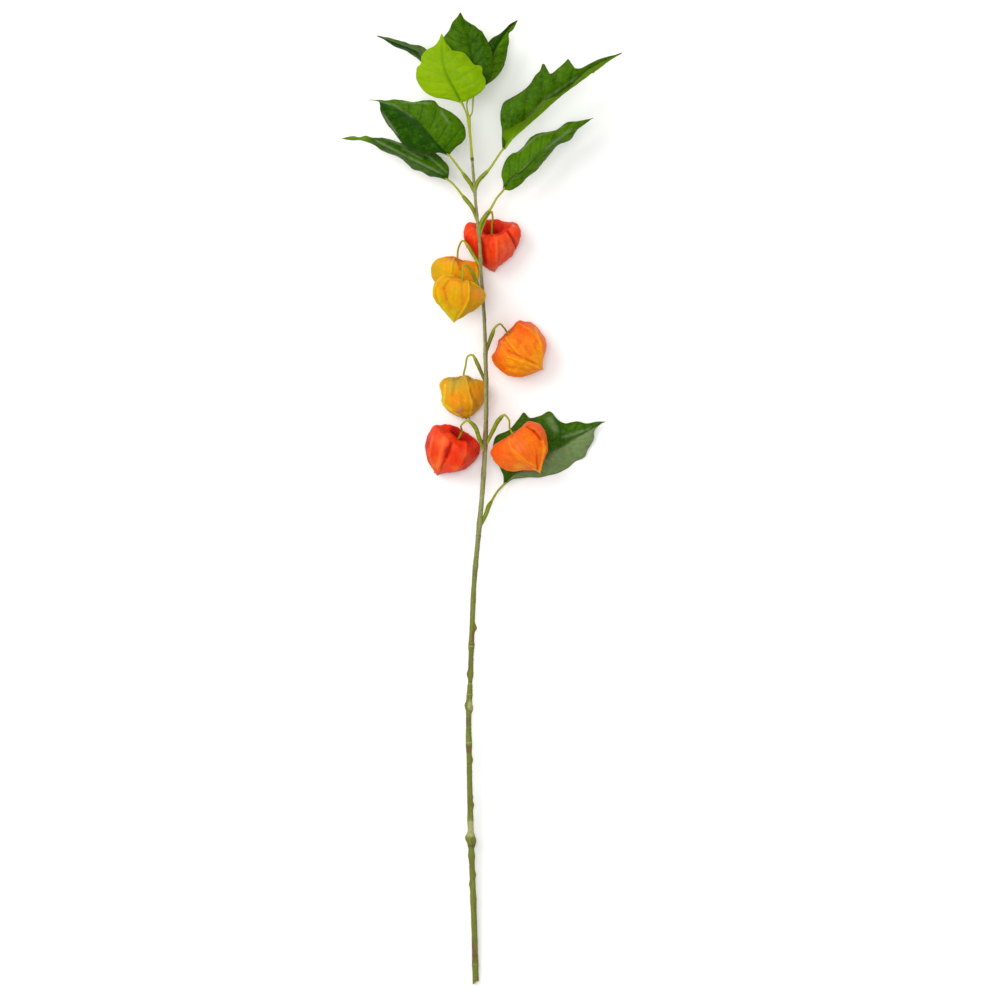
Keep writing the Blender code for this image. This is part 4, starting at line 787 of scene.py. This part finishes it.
def leaf_finish(name, deep, bright, vein_colour, under, margin, painted_sheen):
    """A leaf's waxy skin: clouded greens with painted shade and sheen, veins, coloured margin, paler
    underside.
    """
    material, shader, pen = new_finish(name)
    cloud = pen.noise(pen.place(), 14)
    grain = pen.noise(pen.place(), 1.3, detail=4)
    fibre = pen.noise(pen.place(), 3.5, detail=4)
    web = pen.cells(pen.place(), 1.6)
    # Random clouds of tone, less the painted shade laid on a darker half.
    tone_and_painted_shade = 0.8 + (cloud - 0.5) * 1.2 + (grain - 0.5) * 1.0 + (fibre - 0.5) * 0.8 - pen.mark("dark")
    below = (grain - 0.5).mix(under, bright)
    below = (pen.mark("rib") * 0.4 + pen.mark("vein") * 0.3).mix(below, VEIN_BELOW)
    colour = paint(
        tone_and_painted_shade.clear().mix(deep, bright),
        (pen.mark("vein") * 0.6, vein_colour),
        (pen.mark("rib") * 0.8, vein_colour),
        # Grey painted sheen on the glossy halves and in the strokes, broken up by the fibre noise.
        ((pen.mark("painted_sheen") * (0.25 + fibre)).clear(), painted_sheen),
        (pen.mark("pale") * 0.8, under),
        (pen.mark("under"), below),
        (pen.mark("edge") * 0.6, margin))
    rough = 0.33 + 0.14 * grain + 0.2 * pen.mark("under")
    dress(shader, colour, rough, web.between(0.0, 0.2) + 0.5 * grain, 0.07, shine=0.05)
    return material


def dress_leaf(name, material, seed):
    """A blade and its stalk, in place of their solids."""
    leaf = LEAVES[name]
    base = np.array(leaf["base"])
    rings, marks = blade_rings(leaf, PLAIN_LOOK | LEAF_LOOKS[name], seed)
    mesh = skin("dressed_" + name, [cap(rings + base, marks)])
    seat("dressed_" + name, mesh, name, material)
    start, on = midrib_line(leaf, np.array([0.0, 0.03]))
    beyond = base + unit(on - start) * STALK_UNDER_BLADE
    ending = [base - (0, 0, STALK_DROPS[0]), beyond - (0, 0, STALK_DROPS[1])]
    dress_stalk(name + "_stalk", LEAF_STALKS[name], ending, thin_out=STALK_THIN_END)


# The last colour of each finish is the grey of its painted sheen.
dark_leaf = leaf_finish(
    "waxy_dark_leaf", deep=(0.010, 0.052, 0.0001), bright=(0.072, 0.178, 0.0002),
    vein_colour=(0.006, 0.026, 0.0002), under=(0.12, 0.25, 0.001), margin=(0.085, 0.035, 0.006),
    painted_sheen=(0.20, 0.26, 0.125))
lime_leaf = leaf_finish(
    "young_lime_leaf", deep=(0.13, 0.28, 0.001), bright=(0.225, 0.375, 0.0003),
    vein_colour=(0.04, 0.17, 0.002), under=(0.30, 0.50, 0.02), margin=(0.26, 0.38, 0.003),
    painted_sheen=(0.40, 0.55, 0.15))
for seed, name in enumerate(LEAVES):
    if name == "top_lime_leaf":
        dress_leaf(name, lime_leaf, seed)
    else:
        dress_leaf(name, dark_leaf, seed)


# ---- The papery lanterns ----------------------------------------------------------------------
# Inflated husks with five ribs that run from the dimple round the stalk to the pointed tip. The
# sides sink and crease between the ribs, and a fine net of veins shows in the paper. Shade is painted
# into the grooves, folds, mouth and sides, and a painted highlight joins the ribs' own colour.

# DEEP_RED and DARK_RED are painted shade in grooves, folds, mouths, sides and spots, and DEEP_RED also
# the red husks' darker mottles; CORAL_HIGHLIGHT is a painted highlight on ribs, ridges and spots;
# MAUVE_SHEEN is a pinkish painted sheen.
RED, DEEP_RED, DARK_RED = (0.86, 0.058, 0.007), (0.58, 0.008, 0.002), (0.34, 0.003, 0.001)
SCARLET = (0.74, 0.028, 0.004)
CORAL_HIGHLIGHT, ORANGE, GOLD = (0.96, 0.16, 0.040), (0.93, 0.205, 0.006), (0.96, 0.41, 0.003)
YELLOW, SHARP_YELLOW, OLIVE_YELLOW = (0.66, 0.325, 0.001), (0.60, 0.54, 0.001), (0.36, 0.32, 0.002)
MAUVE_SHEEN, BURNT, AMBER = (0.56, 0.22, 0.14), (0.66, 0.10, 0.003), (0.70, 0.21, 0.002)
# A husk has its middle, the way its mouth looks, its length and radius, its depth as a share of its
# width, how it tapers, how its shoulder slopes, its mouth's rim and funnel, how full it is
# underneath, the twist and places of its ribs in degrees round, and the outline it shows from above.
# Its skin's four colours run from shoulder to tip. The rib colour is the ribs' own with some painted
# highlight; the colours for grooves, folds and flanks are painted shade, also in the mouth. Folds lie
# between two places and have a depth (less than nothing is a raised one) and a half width, round spots
# have a colour: some tint the paper, and others are painted highlight, sheen and shade. Teeth run from
# root to point. All are placed from above, in millimetres from the middle.
PLAIN_HUSK = {
    "rests": True, "slope": 0.8, "rim": 0.36, "under": 1, "funnel": 0.17, "swirl": 0, "teeth": (),
    "rib": SHARP_YELLOW, "groove": AMBER, "dark": BURNT, "flank": OLIVE_YELLOW, "sharp": 0.5,
    "streaky": 0.3, "slot": "yellow_husk", "foot": 0.0,
}
LANTERNS = {
    "top_red_lantern": {
        "slot": "red_husk",
        "middle": (9, 226.5, 21), "mouth": (0, 0.77, 0.64), "length": 54, "radius": 26, "depth": 0.82,
        "taper": 1.15, "slope": 0.5, "rim": 0.62, "under": 0.68, "funnel": 0.30, "lobe": 1.4,
        "ribs": (9, 81, 153, 225, 297),
        "skin": (RED, RED, RED, ORANGE), "rib": CORAL_HIGHLIGHT, "groove": DEEP_RED, "dark": DARK_RED,
        "flank": DEEP_RED, "sharp": 0.3, "streaky": 0.22, "mottled": 0.12, "seat": 3.3,
        "outline": [(2.5, -22), (5.5, -17.5), (13.5, -11.5), (19, -6), (22, -0.5), (25, 6.5), (26, 14),
                    (24, 20), (19.5, 23.5), (13.5, 23), (7.5, 25), (1, 26), (-6, 25), (-14, 22.5),
                    (-22, 22.5), (-25, 16.5), (-25.5, 9.5), (-23.5, 2), (-19, -5), (-12.5, -12.5),
                    (-5.5, -17.5), (-0.5, -20.5)],
        "folds": [((9.6, 20.5), (17, 12), 1.7, 1.1), ((17, 12), (22.7, -0.1), 1.6, 1.1),
                  ((-9.4, 8), (-6.4, -14), 1.2, 2.0), ((-23.5, 8), (-20, -6), 0.6, 1.6),
                  ((-8.2, 10.4), (4.3, 13.8), -0.7, 0.9), ((4.3, 13.8), (10.8, 14.7), -0.6, 0.9),
                  ((4.7, 9.3), (4, -12), -0.4, 0.9), ((13, 4), (15, -5), 0.25, 2.0)],
        "tints_and_painted_lights": [(-22, 4, 5, DEEP_RED), (13, 1, 8, CORAL_HIGHLIGHT), (2, -20, 4, ORANGE), (18, 21, 4, MAUVE_SHEEN),
                    (1, 23.5, 3, MAUVE_SHEEN), (-3, 4, 5, SCARLET), (-14, 0, 7, DEEP_RED)],
        "teeth": (((-0.5, -14), (-2.6, -19.8)),)},
    "rear_yellow_lantern": {
        "middle": (-24, 198.5, 20), "mouth": (0.1, 0.98, 0.1), "length": 42, "radius": 22.5,
        "depth": 0.88, "taper": 0.9, "slope": 1, "lobe": 1.2, "ribs": (-12, 57, 130, 200, 275),
        "skin": (GOLD, YELLOW, YELLOW, SHARP_YELLOW), "mottled": 0.4, "seat": 1.6,
        "outline": [(1, -22), (7, -16.5), (14.5, -11.5), (19, -5), (21.5, 2), (21.5, 8.5), (19, 15),
                    (13.5, 16), (6, 17), (-1.5, 20.5), (-9, 20), (-15.5, 18), (-20, 14.5), (-21.5, 8.5),
                    (-21, 3), (-18, -3), (-12.5, -9.5), (-5.5, -16.5)],
        "folds": [((2, 19), (6, 8), 0.8, 1.6)],
        "tints_and_painted_lights": [(12, 14, 7, ORANGE), (-1, 18, 4, MAUVE_SHEEN), (17, 14, 4, RED),
                    (12, 3, 6, (0.74, 0.24, 0.004)), (-4, 19, 3, BURNT), (-19, 8, 5, OLIVE_YELLOW)]},
    "front_yellow_lantern": {
        "middle": (-21, 179, 60.5), "mouth": (0.18, 0.96, 0.1), "length": 43.5, "radius": 24,
        "depth": 0.9, "taper": 1.0, "rests": False, "lobe": 1.2, "ribs": (24, 95, 165, 232, 300),
        "skin": (GOLD, (0.60, 0.31, 0.001), (0.50, 0.36, 0.002), SHARP_YELLOW),
        "dark": (0.50, 0.20, 0.006), "sharp": 0.9, "mottled": 0.35, "seat": 1.6,
        "outline": [(-4, -21), (-1.5, -18.5), (2.5, -16), (8, -12.5), (14, -9.5), (18, -6.5), (21.5, -3),
                    (23.5, 1.5), (23.5, 6), (21, 10), (16, 13.5), (10, 17), (2.5, 19.5), (-5, 22.5),
                    (-10, 23), (-15, 21), (-19.5, 17.5), (-22, 14), (-23, 9), (-23, 3.5), (-21, -1),
                    (-16, -6.5), (-11, -12.5), (-6.5, -17.5)],
        "folds": [((-9, 17.5), (-13.5, 9), 1.3, 1.1), ((-13.5, 9), (-10.5, -1), 1.2, 1.2),
                  ((-10.5, -1), (-7, -8), 0.5, 1.4), ((3, 15), (4, -4), 0.5, 1.8),
                  ((-19, 10), (-17, -2), -0.4, 1.0), ((-17, -2), (-5, -18), -0.4, 1.0),
                  ((13, 10), (10, -6), 0.4, 1.8)],
        "tints_and_painted_lights": [(-3, 19, 5, ORANGE), (17, 5, 6, ORANGE), (-13.5, 8, 3, ORANGE),
                    (-4, -16, 6, SHARP_YELLOW), (-19, -3, 4, OLIVE_YELLOW), (-14, -9, 4, SHARP_YELLOW),
                    (5, 0, 4, (0.62, 0.24, 0.003))]},
    "right_orange_lantern": {
        "slot": "orange_husk", "foot": 1.0,
        "middle": (36.5, 133, 22), "mouth": (-0.62, 0.78, 0.1), "length": 46, "radius": 26, "depth": 0.86,
        "taper": 0.6, "rim": 0.45, "lobe": 1.3, "ribs": (-11, 45, 115, 190, 280),
        "skin": (ORANGE, (0.94, 0.225, 0.010), (0.94, 0.30, 0.008), GOLD), "rib": GOLD, "groove": BURNT,
        "flank": (0.76, 0.045, 0.003), "mottled": 0.3, "seat": 1.0,
        "outline": [(18, -16.5), (12.5, -18.5), (5, -21.5), (-2, -23), (-9.5, -22.5), (-15.5, -20),
                    (-22, -15), (-26.5, -9), (-27.5, -5), (-24.5, 0), (-22.5, 4.5), (-22, 9),
                    (-18.5, 13.5), (-14, 18), (-9.5, 22), (-3.5, 28), (1.5, 27), (7.5, 26.5), (13, 22),
                    (18.5, 15), (21.5, 9), (21.5, 3), (19.5, -4.5), (18.5, -10.5)],
        "folds": [((-13, -0.5), (13, -11.5), 1.0, 1.2), ((-18, 12), (-13, 6), 0.7, 1.2),
                  ((11.4, 20.9), (16.8, 5.6), -0.5, 0.9), ((16.8, 5.6), (17.3, -13), -0.5, 0.8),
                  ((-13, -5), (15, -14.5), -0.5, 1.0), ((-6, 14), (8, -3), 0.4, 1.8),
                  ((-20, -13), (6, -18), 0.4, 1.4)],
        "tints_and_painted_lights": [(1, 22, 9, RED), (-25, -5, 6, RED), (-17, -15, 5, RED), (2, -14, 8, GOLD),
                    (13, -7, 7, GOLD), (-11, -12, 6, GOLD)],
        "teeth": (((14, -12.5), (18.9, -16.6)),)},
    "small_amber_lantern": {
        "foot": 1.0,
        "middle": (-16, 91.5, 19), "mouth": (-0.02, 0.99, 0.1), "length": 42, "radius": 23, "depth": 0.86,
        "taper": 0.75, "slope": 0.7, "rim": 0.5, "swirl": 50, "lobe": 1.2,
        "ribs": (-12, 62, 130, 200, 272),
        "skin": ((0.44, 0.31, 0.03), (0.74, 0.29, 0.004), (0.66, 0.25, 0.003), OLIVE_YELLOW),
        "rib": (0.78, 0.56, 0.04), "groove": (0.54, 0.24, 0.004), "dark": (0.25, 0.19, 0.012),
        "streaky": 0.2, "mottled": 0.25, "seat": 1.1,
        "outline": [(2, -19.5), (6.5, -16.5), (10, -13.5), (13.5, -10.5), (16.5, -6), (19.5, -0.5),
                    (22, 5), (20, 11.5), (14.5, 16), (8.5, 17), (3.5, 20), (-2, 19.5), (-8, 18.5),
                    (-14.5, 18), (-19.5, 16), (-21.5, 12), (-21, 6.5), (-20, 1), (-20, -3.5), (-18, -8),
                    (-13.5, -12.5), (-8, -16), (-2.5, -18)],
        "folds": [((6.5, 6), (12, -8), 0.8, 1.5), ((-8, 17), (-11, 2), 0.6, 1.6),
                  ((-17, 11), (-18.5, -6), -0.5, 1.0), ((-18.5, -6), (-3, -18), -0.5, 1.1),
                  ((-3, 2), (-1, -12), 0.4, 1.8), ((14, 10), (17, -2), 0.4, 1.4)],
        "tints_and_painted_lights": [(11, 2, 6, ORANGE), (-4, -12, 3, MAUVE_SHEEN), (-4, 15, 7, (0.27, 0.24, 0.02)),
                    (-12, 12, 6, (0.46, 0.32, 0.04)), (-19, 0, 4, OLIVE_YELLOW),
                    (-16, -10, 4, OLIVE_YELLOW), (-7, -2, 6, ORANGE)],
        "teeth": (((0.5, -13), (-1.3, -19)), ((2.5, -13), (5.2, -19.6)))},
    "low_red_lantern": {
        "slot": "red_husk",
        "middle": (-28, 41.5, 22), "mouth": (0.42, 0.78, 0.46), "length": 48, "radius": 26, "depth": 0.85,
        "taper": 0.85, "slope": 0.7, "rim": 0.42, "under": 0.75, "funnel": 0.28, "lobe": 1.4,
        "ribs": (-41, 31, 103, 175, 247),
        "skin": (SCARLET, RED, RED, ORANGE), "rib": CORAL_HIGHLIGHT, "groove": DEEP_RED, "dark": DARK_RED,
        "flank": (0.42, 0.004, 0.001), "sharp": 0.2, "streaky": 0.15, "mottled": 0.1, "seat": 2.9,
        "outline": [(-12.5, -20.5), (-8.5, -19), (-2.5, -18), (5, -17), (12, -15), (18.5, -10.5),
                    (23.5, -5), (26, 1), (26.5, 6.5), (23.5, 11.5), (19, 15), (14, 18.5), (9, 21.5),
                    (5, 24), (0.5, 25), (-4.5, 26), (-9.5, 25), (-14.5, 25.5), (-18.5, 20.5),
                    (-21.5, 14.5), (-23, 8), (-22.5, 1), (-21, -6.5), (-17.5, -13), (-14.5, -17.5)],
        "folds": [((0.5, 9), (-4.3, -4), 1.6, 1.7), ((-4.3, -4), (-9, -14), 0.9, 1.3),
                  ((-16, 15), (-19.5, -2), -0.5, 1.1), ((-19.5, -2), (-14.1, -18), -0.5, 1.0),
                  ((-6, 14), (-11.5, -14), -0.4, 1.6), ((9, 6), (13, -8), 0.4, 2.0)],
        "tints_and_painted_lights": [(-8, 9, 6, CORAL_HIGHLIGHT), (-21, 9, 6, DARK_RED), (-21.5, -4, 5, DEEP_RED),
                    (-13, -11, 5, ORANGE), (6, -5, 9, SCARLET), (20, 0, 7, SCARLET), (4, -15, 3, ORANGE),
                    (-3.5, 2, 3.5, DARK_RED), (12, -2, 4, CORAL_HIGHLIGHT)],
        "teeth": (((-12, -12.5), (-15.1, -18)),)},
    "low_orange_lantern": {
        "slot": "orange_husk",
        "middle": (36, 44.5, 31.5), "mouth": (-0.5, 0.86, 0.12), "length": 50, "radius": 25.5,
        "depth": 0.85, "taper": 0.95, "rests": False, "lobe": 1.3, "ribs": (-20, 46, 115, 190, 275),
        "skin": ((0.88, 0.115, 0.005), (0.88, 0.135, 0.005), (0.90, 0.17, 0.006), GOLD),
        "rib": (0.96, 0.34, 0.006), "groove": BURNT, "dark": (0.50, 0.006, 0.002),
        "flank": (0.80, 0.085, 0.004), "sharp": 0.35, "mottled": 0.2, "seat": 1.3,
        "outline": [(16.5, -21.5), (12.5, -19), (7.5, -18.5), (2, -18), (-5, -19), (-11.5, -19),
                    (-17.5, -16.5), (-23, -12.5), (-26.5, -7.5), (-28, -3), (-27, 1), (-24.5, 4.5),
                    (-19.5, 7.5), (-14.5, 10.5), (-9.5, 14), (-4, 17.5), (0, 20.5), (2.5, 23.5),
                    (6.5, 25.5), (11.5, 25), (15.5, 23.5), (19, 20), (21.5, 15), (23, 8.5), (23.5, 3),
                    (23, -2), (21, -7), (19, -12.5), (18, -17.5)],
        "folds": [((4, 21.5), (12.5, 16), 1.8, 1.1), ((12.5, 16), (17.5, 9), 1.8, 1.2),
                  ((13.5, -6), (14.3, -18), 0.8, 1.0), ((18.6, 8), (21, 1.5), -0.5, 1.0),
                  ((21, 1.5), (17.8, -11.6), -0.5, 1.0), ((17.8, -11.6), (16.2, -18), -0.4, 0.9),
                  ((-9.2, 0.7), (5.6, -11.6), -0.4, 1.0), ((5.6, -11.6), (13, -15.5), -0.4, 1.0)],
        "tints_and_painted_lights": [(15, 20, 4, RED), (8, 25, 4, RED), (19, 19, 4, RED), (-24, -2, 7, RED),
                    (-2, -16, 5, GOLD), (20, 0, 3, GOLD), (-3, 3, 8, CORAL_HIGHLIGHT), (6, 8, 6, ORANGE)],
        "teeth": (((15, -13), (14.2, -20)),)},
}
HUSK_SHOULDER = [(0.01, 0), (0.03, 0.47), (0.13, 0.89), (0.29, 1.0)]    # shares of the length,
HUSK_FLANK = [(0.46, 0.93), (0.62, 0.77), (0.76, 0.54), (0.87, 0.31),    # and of the way out
              (0.95, 0.12), (1.0, 0)]
FUNNEL_THROAT = (0.47, 0.44)            # how deep the funnel narrows, and to what share of the rim
HUSK_ROWS = 110
HUSK_SIDES = 190
OUTLINE_WAYS = 180
OUTLINE_POINTS = 700
HUSK_CREASE = 0.13                      # how far an even side sinks, as a share of the radius
EVEN_SIDE = 72                          # degrees between ribs that are evenly spaced
LOBE_ROW = (0.27, 0.12)                 # where along a husk its lobes stand out, and for how far
RIB = (0.5, 0.75)                       # height and half width of a rib,
GROOVE = (0.35, 1.1)                    # of the groove on both its sides,
MID_RIB = (0.18, 0.7)                   # and of the vein halfway to the next rib
GROOVE_ASIDE = 2.2
WRINKLES = (0.30, 9)                    # height and size of the paper's wrinkles,
CRINKLES = (0.15, 4)                    # and of the finer ones
FULL_FOLD = 1.2                         # a fold that deep has its whole colour
# How strongly a raised fold is painted in the rib colour, a painted highlight along the ridge.
RAISED_HIGHLIGHT = 0.8
MOUTH_SHADE = (0.29, 0.16)              # how far down the painted shade in the mouth ends, and its blend
TOOTH_SIDES = 12
TOOTH_ROWS = 9
TOOTH_WIDTH = 2.5
TOOTH_POINT = 0.45


def husk_frame(husk):
    """A lantern's own directions: out of its mouth, up as far as that allows, and across."""
    axis = unit(np.array(husk["mouth"], float))
    up = unit(np.array([0, 0, 1.0]) - axis * axis[2])
    return axis, up, np.cross(axis, up)


def tip_lean(husk):
    """How far a lantern's tip leans across, so that it points at the first point of its outline."""
    axis, _, side = husk_frame(husk)
    x, y = husk["outline"][0]
    return husk["length"] / 2 * (axis[0] * y - axis[1] * x) / (side[0] * y - side[1] * x)


def fit_outline(husk, rings):
    """Stretch a lantern's rings level with the table until they fill its outline."""
    points = [(x, y, 0) for x, y in husk["outline"] + husk["outline"][:1]]
    line = smooth_line(points, np.linspace(0, 1, OUTLINE_POINTS))
    angles = np.arctan2(line[:, 1], line[:, 0])
    order = np.argsort(angles)
    ways = np.arctan2(rings[..., 1], rings[..., 0])
    reach = np.hypot(rings[..., 0], rings[..., 1])
    bins = np.floor((ways / (2 * math.pi) + 0.5) * OUTLINE_WAYS).astype(int) % OUTLINE_WAYS
    own = np.zeros(OUTLINE_WAYS)
    np.maximum.at(own, bins.ravel(), reach.ravel())
    centres = ((np.arange(OUTLINE_WAYS) + 0.5) / OUTLINE_WAYS - 0.5) * 2 * math.pi
    own = np.interp(ways, centres, own, period=2 * math.pi)
    wanted = np.interp(ways, angles[order], np.hypot(line[:, 0], line[:, 1])[order], period=2 * math.pi)
    stretch = 1 + (wanted / own - 1) * reach / own
    return rings * np.stack([stretch, stretch, 1 + 0 * stretch], -1)


def husk_rings(husk, seed):
    """A lantern's rings of points about its middle, from the dimple to the tip, and its marks."""
    axis, up, side = husk_frame(husk)
    rim = husk["rim"]
    outline = [(husk["funnel"], 0, 0), (FUNNEL_THROAT[0] * husk["funnel"], FUNNEL_THROAT[1] * rim, 0)]
    outline += [(fall * husk["slope"], rim + (1 - rim) * out, 0) for fall, out in HUSK_SHOULDER]
    outline += [(fall, out, 0) for fall, out in HUSK_FLANK]
    down = np.linspace(0, 1, HUSK_ROWS)
    fall, reach = smooth_line(outline, down).T[:2, :, None]
    reach = np.maximum(reach, 0) ** husk["taper"]
    down = down[:, None]
    turn = turns(HUSK_SIDES)[None]
    angle = np.degrees(turn) - husk["swirl"] * down
    ribs = np.array(husk["ribs"], float)
    past = np.mod(angle[..., None] - ribs, 360)
    width = np.diff(np.append(ribs, ribs[0] + 360))[past.argmin(axis=2)]
    share = past.min(axis=2) / width
    sink = HUSK_CREASE * (width / EVEN_SIDE) ** 1.3 * np.sin(math.pi * share) ** 0.8
    girth = 1 - (1 - husk["under"]) * np.clip(-np.cos(turn), 0, 1)
    radius = husk["radius"] * reach * girth * (1 - sink)
    spokes = up * np.cos(turn)[..., None] + side * np.sin(turn)[..., None]
    lobe = husk["lobe"] * (1 - 2 * np.sin(math.pi * share)) * hump(down - LOBE_ROW[0], LOBE_ROW[1])
    rise = husk["length"] * (0.5 - fall) + lobe
    lean = side * (tip_lean(husk) * fall**2)[..., None]
    rings = axis * rise[..., None] + spokes * radius[..., None] + lean
    rings[..., 2] *= husk["depth"]
    rings = fit_outline(husk, rings)

    beside = np.roll(rings, -1, axis=1) - np.roll(rings, 1, axis=1)
    normal = unit(np.cross(beside, np.gradient(rings, axis=0)))
    normal *= np.sign((normal * spokes).sum(axis=(1, 2)))[:, None, None]
    open_out = np.clip(reach * 4 - 0.2, 0, 1)

    def ridge(turned, half_width, apart=0.0):
        aside = np.radians(turned * width) * husk["radius"] * reach
        return hump(aside - apart, half_width) * open_out * husk["sharp"]

    from_rib = np.minimum(share, 1 - share)
    rib, groove = ridge(from_rib, RIB[1]), ridge(from_rib, GROOVE[1], GROOVE_ASIDE)
    mid_rib = ridge(np.abs(share - 0.5), MID_RIB[1])
    lift = RIB[0] * rib - GROOVE[0] * groove + MID_RIB[0] * mid_rib
    for (height, size), draw in ((WRINKLES, seed), (CRINKLES, seed + 50)):
        lift += height * uneven(rings, size, draw) * open_out
    fold = np.zeros(lift.shape)
    facing_up = np.clip(normal[..., 2] * 3, 0, 1)
    # A sunken fold is marked for painted shade in its crease, a raised one for painted highlight in the
    # rib colour.
    for start, end, depth, half in husk["folds"]:
        near = hump(line_distance(rings, start, end), half) * facing_up
        lift -= depth * near
        if depth > 0:
            fold = np.maximum(fold, near * min(depth, FULL_FOLD) / FULL_FOLD)
        else:
            rib = np.maximum(rib, near * RAISED_HIGHLIGHT)
    rings = rings + normal * lift[..., None]
    marks = {"down": down, "rib": rib, "groove": groove, "fold": fold,
             "round_x": 10 * np.cos(turn), "round_y": 10 * np.sin(turn),
             # The mouth mark is painted shade, deepening down into the mouth.
             "mouth": np.clip((MOUTH_SHADE[0] - down) / MOUTH_SHADE[1], 0, 1),
             # This mark paints shade on the sides that turn away from the light above.
             "flank": np.clip(1 - normal[..., 2] * 1.25, 0, 1) ** 1.5}
    # Round spots of colour: some tint the paper, and others are painted highlight, painted sheen and
    # painted shade.
    for i, (x, y, size, _) in enumerate(husk["tints_and_painted_lights"]):
        from_above = np.linalg.norm(rings[..., :2] - (x, y), axis=-1)
        marks[f"blush_{i}"] = hump(from_above, size) * np.clip(normal[..., 2] * 2 + 0.4, 0, 1)
    return rings, marks


def tooth_rings(rings, root, point):
    """A small tooth by a husk's tip, from its root inside the husk to its point, as seen from above."""
    low = rings[-1, 0, 2] + TOOTH_POINT
    start, end = np.array((*root, low + TOOTH_WIDTH)), np.array((*point, low))
    steps = np.linspace(0, 1, TOOTH_ROWS)[:, None]
    radii = np.repeat(TOOTH_WIDTH * (1 - steps) + TOOTH_POINT * steps, TOOTH_SIDES, axis=1)
    return cap(rings_round(start + (end - start) * steps, radii, TOOTH_SIDES), {"down": 1.0})


def husk_finish(name, husk):
    """Husk paper: colours from shoulder to tip, veins, spots, painted highlight on ribs, painted shade in
    creases, mouth, sides.
    """
    material, shader, pen = new_finish(name)
    shoulder, body, low, tip = husk["skin"]
    cloud = pen.noise(pen.place(), 7)
    grain = pen.noise(pen.place(), 1.5, detail=5, rough=0.62)
    web = pen.cells(pen.place(), 1.5)
    down = pen.mark("down") + 0.12 * (cloud - 0.5)
    meridian = {0: pen.mark("round_x"), 1: pen.mark("round_y"), 2: pen.mark("down") * 5}
    along = pen.node("CombineXYZ", {}, meridian)
    streaks = pen.node("TexNoise", {}, {0: along, "Scale": 1.1, "Detail": 4.0})
    rib, groove, dark = husk["rib"], husk["groove"], husk["dark"]
    colour = paint(
        down.between(0.22, 0.46).mix(shoulder, body),
        (down.between(0.60, 0.84), low),
        (down.between(0.88, 0.97), tip),
        # Round spots: tints of the paper, and painted highlight, sheen and shade.
        *(((pen.mark(f"blush_{i}") * (0.55 + 0.9 * cloud)).clear() * 0.8, colour_spot)
          for i, (_, _, _, colour_spot) in enumerate(husk["tints_and_painted_lights"])),
        (streaks.between(0.52, 0.68) * husk["streaky"], groove),
        (streaks.between(0.46, 0.32) * husk["streaky"], rib),
        (cloud.between(0.62, 0.40) * 0.22, groove),
        # Painted shade on the sides that turn away from the light.
        (pen.mark("flank") * 0.65, husk["flank"]),
        (web.between(0.12, 0.0) * grain.between(0.35, 0.6) * 0.22, groove),
        (grain.between(0.50, 0.62) * husk["mottled"], groove),
        (grain.between(0.47, 0.37) * husk["mottled"] * 0.7, rib),
        # Painted shade in the grooves beside the ribs, the ribs' own colour with painted highlight, and
        # painted shade in the folds and down into the mouth.
        (pen.mark("groove") * 0.55, groove),
        (pen.mark("rib") * 0.75, rib),
        ((pen.mark("fold") * 0.95).clear(), dark),
        (pen.mark("mouth") * 0.7, groove),
        (pen.mark("mouth") ** 1.6 * 0.8, dark))
    rough = 0.40 + 0.12 * grain
    height = web.between(0.0, 0.22) * 0.4 + 0.7 * grain + 0.9 * streaks
    dress(shader, colour, rough, height, 0.12, shine=0.09)
    return material


for seed, (name, own) in enumerate(LANTERNS.items(), 20):
    husk = PLAIN_HUSK | own
    rings, marks = husk_rings(husk, seed)
    axis, _, _ = husk_frame(husk)
    place = np.array(husk["middle"], float)
    if husk["rests"]:
        place[2] = -rings[..., 2].min()
    patches = [(rings, marks)] + [tooth_rings(rings, *tooth) for tooth in husk["teeth"]]
    mesh = skin("dressed_" + name, [(patch + place, given) for patch, given in patches])
    seat("dressed_" + name, mesh, name, husk_finish(name + "_paper", husk))
    dimple = place + rings[0].mean(axis=0)
    ending = [dimple + axis * husk["length"] * husk["funnel"], dimple + axis * husk["seat"]]
    dress_stalk(name + "_stalk", LANTERN_STALKS[name], ending, cup=True, foot=husk["foot"])
